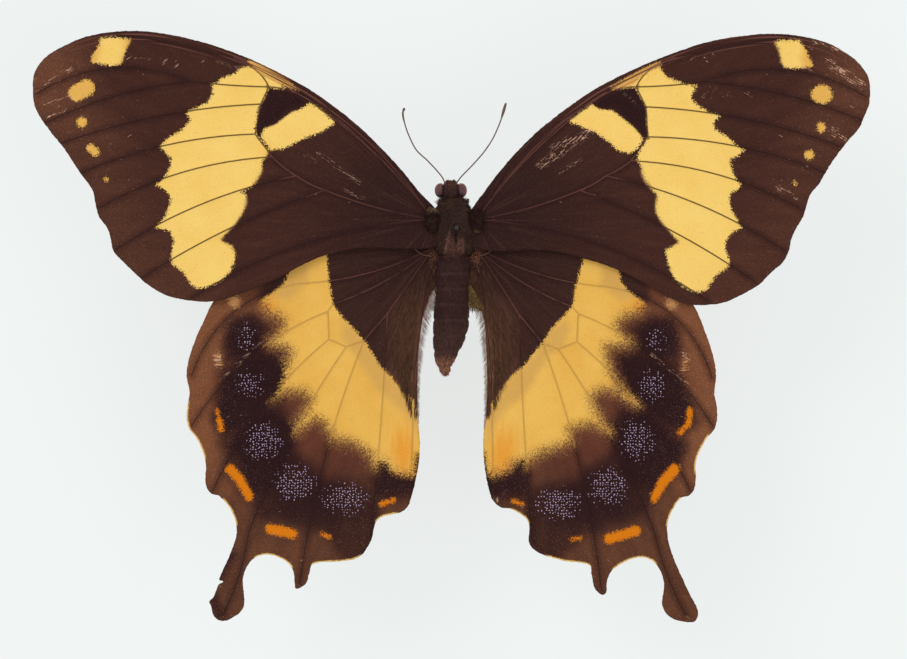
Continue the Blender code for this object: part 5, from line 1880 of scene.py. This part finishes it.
@dataclass(frozen=True)
class ShoulderFinish:
    """Dark brown hair with olive and tan patches, at the wing roots."""

    dark: Colour = tone(52, 32, 28)
    olive: Colour = tone(66, 47, 37)
    tan: Colour = tone(128, 100, 74)

    def paint(self) -> Material:
        """Build the material."""
        paint = Paint("shoulder hair", roughness=0.75, specular_ior_level=0.1)
        grain = paint.noise(0.25 * MM, 3.0)
        cloud = paint.noise(1.4 * MM, 2.0)
        tint = paint.attribute("tint")
        colour = paint.mix(((cloud - 0.45) * 3.0).held(), self.dark, self.olive)
        pale = (paint.attribute("pale") + grain.swing(0.8)).step(0.3, 0.8)
        colour = paint.mix(pale * 0.8, colour, self.tan)
        colour = paint.shade(colour, tint * 0.8 + 0.55)
        return paint.finish(colour, 0.65 + grain * 0.25, grain, 0.06 * MM)


@dataclass
class Shoulder:
    """The hairy plate over a forewing's root."""

    side: Side
    out: float = 3.9
    place: tuple[float, float] = (1.7, 2.3)
    radii: tuple[float, float, float] = (1.05, 1.95, 0.75)
    tufts: int = 700

    def pale(self, points: np.ndarray) -> np.ndarray:
        """How tan each point is: the left plate in front, the right one behind."""
        out, y = np.abs(points[:, 0] - BODY_X), points[:, 1]
        if self.side is Side.LEFT:
            return ramp(y, 2.9, 3.4) * ramp(out, 4.7, 4.2)
        return ramp(y, 0.6, -0.2)

    def build(self, material: Material) -> None:
        """Build plate and hair and hand them over."""
        side = self.side.value
        name = f"tegula_{self.side.word}"
        plate = stretched_ball(name, (BODY_X + side * self.out, *self.place), self.radii)
        unwrap(plate)
        points = read_corners(plate) / MM
        keep_numbers(plate, "tint", np.full(len(points), 0.35))
        keep_numbers(plate, "pale", self.pale(points))
        weights = np.clip((points[:, 2] - BODY_HEIGHT - self.place[1] + 0.5), 0.05, 1)
        roots, normals, places = spread_roots(plate, weights, self.tufts, 7 + side)
        random = np.random.default_rng(17 + side)
        count = len(roots)
        lies = np.tile((side * 0.5, -1.0, -0.1), (count, 1)) + random.normal(0, 0.3, (count, 3))
        hair = Tufts(
            roots, normals, lies, random.uniform(0.6, 1.3, count), random.uniform(0.035, 0.07, count),
            random.uniform(0.12, 0.35, count), places,
        ).build(f"tegula_hair_{self.side.word}")
        keep_numbers(hair, "tint", np.repeat(random.uniform(0.1, 1.0, count), TUFT_POINTS))
        keep_numbers(hair, "pale", np.repeat(self.pale(roots), TUFT_POINTS))
        hand_over(plate, Slot.SHOULDERS, material, name)
        hand_over(hair, Slot.SHOULDERS, material)


@dataclass(frozen=True)
class HairFinish:
    """Fine soft hair in the colours that its tufts carry."""

    def paint(self) -> Material:
        """Build the material."""
        paint = Paint("wing hair", roughness=0.7, specular_ior_level=0.12)
        grain = paint.noise(0.4 * MM, 2.0)
        hue = paint.node("ShaderNodeAttribute", {"attribute_name": "hue"}).outputs["Color"]
        return paint.finish(paint.shade(hue, grain * 0.4 + 0.8), 0.6 + grain * 0.2, grain, 0.02 * MM)


@dataclass
class Bunch:
    """Hairs of one kind on a hindwing, a row each, in its plan in millimetres."""

    places: np.ndarray
    lies: np.ndarray
    lengths: np.ndarray
    dark: Colour
    light: Colour
    width: float = 0.028
    lift: float = 0.06


@dataclass
class WingHair:
    """The hair of one hindwing: along its inner margin, over its blade, and the tufts at its root."""

    side: Side
    outline: dict[str, Knots]
    fringe_heights: tuple[float, ...]
    fringe_lengths: tuple[float, ...]
    fringe: int = 640
    blade: int = 2400
    tuft: int = 130
    olive: int = 0
    seed: int = 90
    uv_start: tuple[float, float] = (0.0, -75.0)
    uv_span: float = 80.0

    def margin_x(self, y: np.ndarray) -> np.ndarray:
        """How far out the inner margin is at these heights of the plan."""
        line = smooth_rows(self.outline["inner margin"], 0.2)
        return np.interp(y, line[:, 1], line[:, 0])

    def bunches(self, random: np.random.Generator) -> list[Bunch]:
        """Draw every kind of hair."""
        count = self.fringe
        y = random.uniform(self.fringe_heights[0], self.fringe_heights[-1], count)
        x = self.margin_x(y) + random.uniform(-0.05, 0.2, count)
        reach = np.interp(y, self.fringe_heights, self.fringe_lengths) * random.uniform(0.6, 1.1, count)
        lies = np.column_stack([-0.5 + random.normal(0, 0.08, count), -0.85 + random.normal(0, 0.08, count)])
        fringe = Bunch(np.column_stack([x, y]), lies, reach, tone(140, 116, 106), tone(220, 206, 196))

        count = self.blade
        y = -7.0 - 26.0 * random.random(count) ** 0.8
        depth = np.interp(y, [-33, -27, -20, -8], [1.0, 3.2, 6.0, 4.0])
        places = np.column_stack([self.margin_x(y) + random.random(count) ** 1.7 * depth, y])
        lies = places - (3.2, 2.0) + random.normal(0, 1.2, (count, 2))
        reach = random.uniform(0.9, 2.2, count)
        blade = Bunch(places, lies, reach, tone(70, 43, 34), tone(120, 84, 62), 0.02, 0.03)

        count = self.tuft
        places = np.column_stack([random.normal(3.75, 0.4, count), random.normal(-5.2, 0.8, count)])
        lies = random.normal(0, 1.0, (count, 2)) + (0.5, -0.8)
        reach = random.uniform(0.4, 1.1, count)
        tuft = Bunch(places, lies, reach, tone(74, 46, 36), tone(186, 126, 92), 0.026, 0.25)

        count = self.olive
        y = random.uniform(-14.2, -10.2, count)
        x = 2.7 + random.random(count) * 0.62 * (-9.9 - y)
        lies = np.column_stack([-0.15 + random.normal(0, 0.2, count), -0.9 + random.normal(0, 0.2, count)])
        reach = random.uniform(0.5, 0.9, count)
        olive = Bunch(np.column_stack([x, y]), lies, reach, tone(84, 64, 38), tone(136, 110, 60), 0.05)
        return [bunch for bunch in (fringe, blade, tuft, olive) if len(bunch.places)]

    def build(self, material: Material) -> None:
        """Build the hair and hand it over."""
        random = np.random.default_rng(self.seed + self.side.value)
        bunches = self.bunches(random)
        sizes = [len(bunch.places) for bunch in bunches]
        flats, count = np.vstack([bunch.places for bunch in bunches]), sum(sizes)
        roots = np.column_stack([flats * (self.side.value, 1), wing_height(flats, -1) + 0.04])
        lies = np.vstack([bunch.lies for bunch in bunches]) * (self.side.value, 1)
        lifts = np.concatenate([random.uniform(0, bunch.lift * 2, len(bunch.places)) for bunch in bunches])
        widths = np.repeat([bunch.width for bunch in bunches], sizes) * random.uniform(0.8, 1.3, count)
        hair = Tufts(
            roots, np.tile((0.0, 0.0, 1.0), (count, 1)), np.column_stack([lies, np.zeros(count)]),
            np.concatenate([bunch.lengths for bunch in bunches]), widths, lifts,
            (flats - self.uv_start) / self.uv_span, sunk=0.04,
        ).build(f"hindwing_hair_{self.side.word}")
        share = random.random(count)[:, None] ** 1.3
        dark = np.repeat([bunch.dark for bunch in bunches], sizes, axis=0)
        light = np.repeat([bunch.light for bunch in bunches], sizes, axis=0)
        keep_colours(hair, "hue", np.repeat(dark * (1 - share) + light * share, TUFT_POINTS, axis=0))
        hand_over(hair, Slot.BODY, material)


@dataclass(frozen=True)
class PinFinish:
    """Black enamel on a steel pin."""

    enamel: Colour = tone(12, 12, 13)
    worn: Colour = tone(30, 30, 31)

    def paint(self) -> Material:
        """Build the material."""
        paint = Paint("black enamel", roughness=0.14, specular_ior_level=0.45)
        grain = paint.noise(0.2 * MM, 2.0)
        return paint.finish(paint.mix(grain * 0.3, self.enamel, self.worn), 0.1 + grain * 0.12)


@dataclass(frozen=True)
class BlockFinish:
    """Plain pale block: fine closed foam with a slight mottle."""

    pale: Colour = tone(240, 243, 242)
    shade: Colour = tone(222, 226, 225)

    def paint(self) -> Material:
        """Build the material."""
        paint = Paint("pale block", roughness=0.6, specular_ior_level=0.25)
        cells = paint.cells(0.45 * MM, 1.0, flat=False)[0]
        cloud = paint.noise(5.0 * MM, 3.0)
        colour = paint.mix((cloud * 0.5 + cells * 0.3).held(), self.pale, self.shade)
        return paint.finish(colour, 0.5 + cells * 0.2, cells, 0.05 * MM)


def dress_stand() -> None:
    """Give the pin and the block of the CAD model their finishes."""
    for node, finish in (("stand_pin", PinFinish()), ("stand_base", BlockFinish())):
        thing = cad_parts[node]
        thing.data.materials.clear()
        thing.data.materials.append(finish.paint())


def build_body() -> None:
    """Build the body and all that grows from it."""
    Body().build()
    eye, horn = EyeFinish().paint(), HornFinish().paint()
    shoulder, hair = ShoulderFinish().paint(), HairFinish().paint()
    Tongue().build(horn)
    for side, knots in BRISTLES.items():
        line = smooth_line([body_point(*knot) for knot in knots], 0.3 * MM)
        radii = list(np.linspace(0.04, 0.08, len(line)) * MM)
        hand_over(drawn_tube(f"wing_bristle_{side.word}", line, radii), Slot.HORN, horn)
    for side in Side:
        Eye(side).build(eye)
        Antenna(side, *FEELER_TIPS[side]).build(horn)
        Shoulder(side).build(shoulder)
        for place in LEGS:
            Leg(side, place).build(horn)
    WingHair(
        Side.LEFT, HINDWING_LEFT, (-35.0, -25.5, -20.0, -16.0, -12.5, -10.5), (0.5, 1.3, 2.0, 2.6, 2.6, 2.0),
    ).build(hair)
    WingHair(
        Side.RIGHT, HINDWING_RIGHT, (-36.0, -29.0, -22.0, -17.0, -14.6), (0.5, 1.2, 1.6, 2.1, 2.3), olive=360,
    ).build(hair)


@dataclass(frozen=True)
class Lamp:
    """A square area light that shines on the origin, in metres and watts."""

    name: str
    place: tuple[float, float, float]
    size: float
    power: float

    def build(self) -> None:
        """Build the light."""
        light = linked(self.name, bpy.data.lights.new(self.name, "AREA"))
        light.data.size = self.size
        light.data.energy = self.power
        light.location = self.place
        light.rotation_euler = (-Vector(self.place)).to_track_quat("-Z", "Y").to_euler()


@dataclass(frozen=True)
class Studio:
    """The plain pale floor, the soft light and the camera straight above."""

    glow: Colour = tone(238, 242, 241)
    matte: Colour = tone(121, 123, 122)
    mottle: Colour = tone(116, 118, 117)
    sky: Colour = tone(246, 248, 250)
    sky_strength: float = 0.72
    floor_size: float = 8.0
    view_width: float = 163.26 * MM
    view_level: float = 28.5 * MM
    view_x: float = -0.27 * MM
    view_y: float = -18.27 * MM
    lens: float = 500.0
    sensor: float = 36.0
    clip: tuple[float, float] = (0.05, 20.0)

    def lay_floor(self) -> None:
        """Build the floor."""
        bpy.ops.object.select_all(action="DESELECT")
        bpy.ops.mesh.primitive_plane_add(size=self.floor_size)
        floor = bpy.context.object
        floor.name = "floor"
        paint = Paint("pale floor", roughness=0.9, specular_ior_level=0.05, emission_strength=0.815)
        paint.surface.inputs["Emission Color"].default_value = self.glow
        floor.data.materials.append(paint.finish(paint.mix(paint.noise(0.4) * 0.04, self.matte, self.mottle)))

    def light(self) -> None:
        """Build the sky and the two lamps."""
        world = bpy.data.worlds.new("soft light")
        bpy.context.scene.world = world
        world.use_nodes = True
        sky = world.node_tree.nodes["Background"]
        sky.inputs["Color"].default_value = self.sky
        sky.inputs["Strength"].default_value = self.sky_strength
        Lamp("key", (-0.9, 0.9, 1.3), 0.9, 10.0).build()
        Lamp("fill", (1.0, -0.6, 1.2), 1.1, 5.5).build()

    def set_camera(self) -> None:
        """Build the camera that sees what the photograph shows."""
        eye = linked("camera", bpy.data.cameras.new("camera"))
        eye.data.lens = self.lens
        eye.data.sensor_width = self.sensor
        distance = self.view_width * self.lens / self.sensor
        eye.location = (self.view_x, self.view_y, self.view_level + distance)
        eye.data.clip_start, eye.data.clip_end = self.clip
        bpy.context.scene.camera = eye

    def build(self) -> None:
        """Build floor, lights and camera."""
        bpy.context.scene.view_settings.view_transform = "Standard"
        self.lay_floor()
        self.light()
        self.set_camera()


def build_wings() -> None:
    """Build the four wings."""
    forewing = WingFinish("forewing scales", dust_reach=0.7).paint()
    hindwing = WingFinish(
        "hindwing scales", brown=tone(59, 35, 30), beyond=tone(96, 53, 39), margin=tone(124, 76, 50),
        margin_reach=12.0, inner_share=1.0, low_dark=1.0, beyond_share=1.0, fan_share=0.12,
        yellow=tone(238, 187, 90), yellow_deep=tone(230, 173, 76), dull=tone(213, 164, 86),
        vein_yellow=tone(186, 140, 70), vein_yellow_width=0.12, vein_yellow_share=0.65,
        gold=tone(200, 144, 90), base_reach=22.0,
    ).paint()
    for side, outline, nodes, marks in (
        (Side.LEFT, FOREWING_LEFT, FOREWING_NODES_LEFT, FOREWING_MARKS_LEFT),
        (Side.RIGHT, FOREWING_RIGHT, FOREWING_NODES_RIGHT, FOREWING_MARKS_RIGHT),
    ):
        Wing("forewing", side, 1, outline, nodes, FOREWING_VEINS, 9, marks).build(forewing)
    for side, outline, nodes, marks in (
        (Side.LEFT, HINDWING_LEFT, HINDWING_NODES_LEFT, HINDWING_MARKS_LEFT),
        (Side.RIGHT, HINDWING_RIGHT, HINDWING_NODES_RIGHT, HINDWING_MARKS_RIGHT),
    ):
        Wing("hindwing", side, -1, outline, nodes, HINDWING_VEINS, 8, marks).build(hindwing)


def main() -> None:
    """Build every sub-assembly in order."""
    logging.basicConfig(level=logging.INFO, format="%(name)s %(message)s")
    Studio().build()
    dress_stand()
    build_wings()
    build_body()


if __name__ == "__main__":
    main()
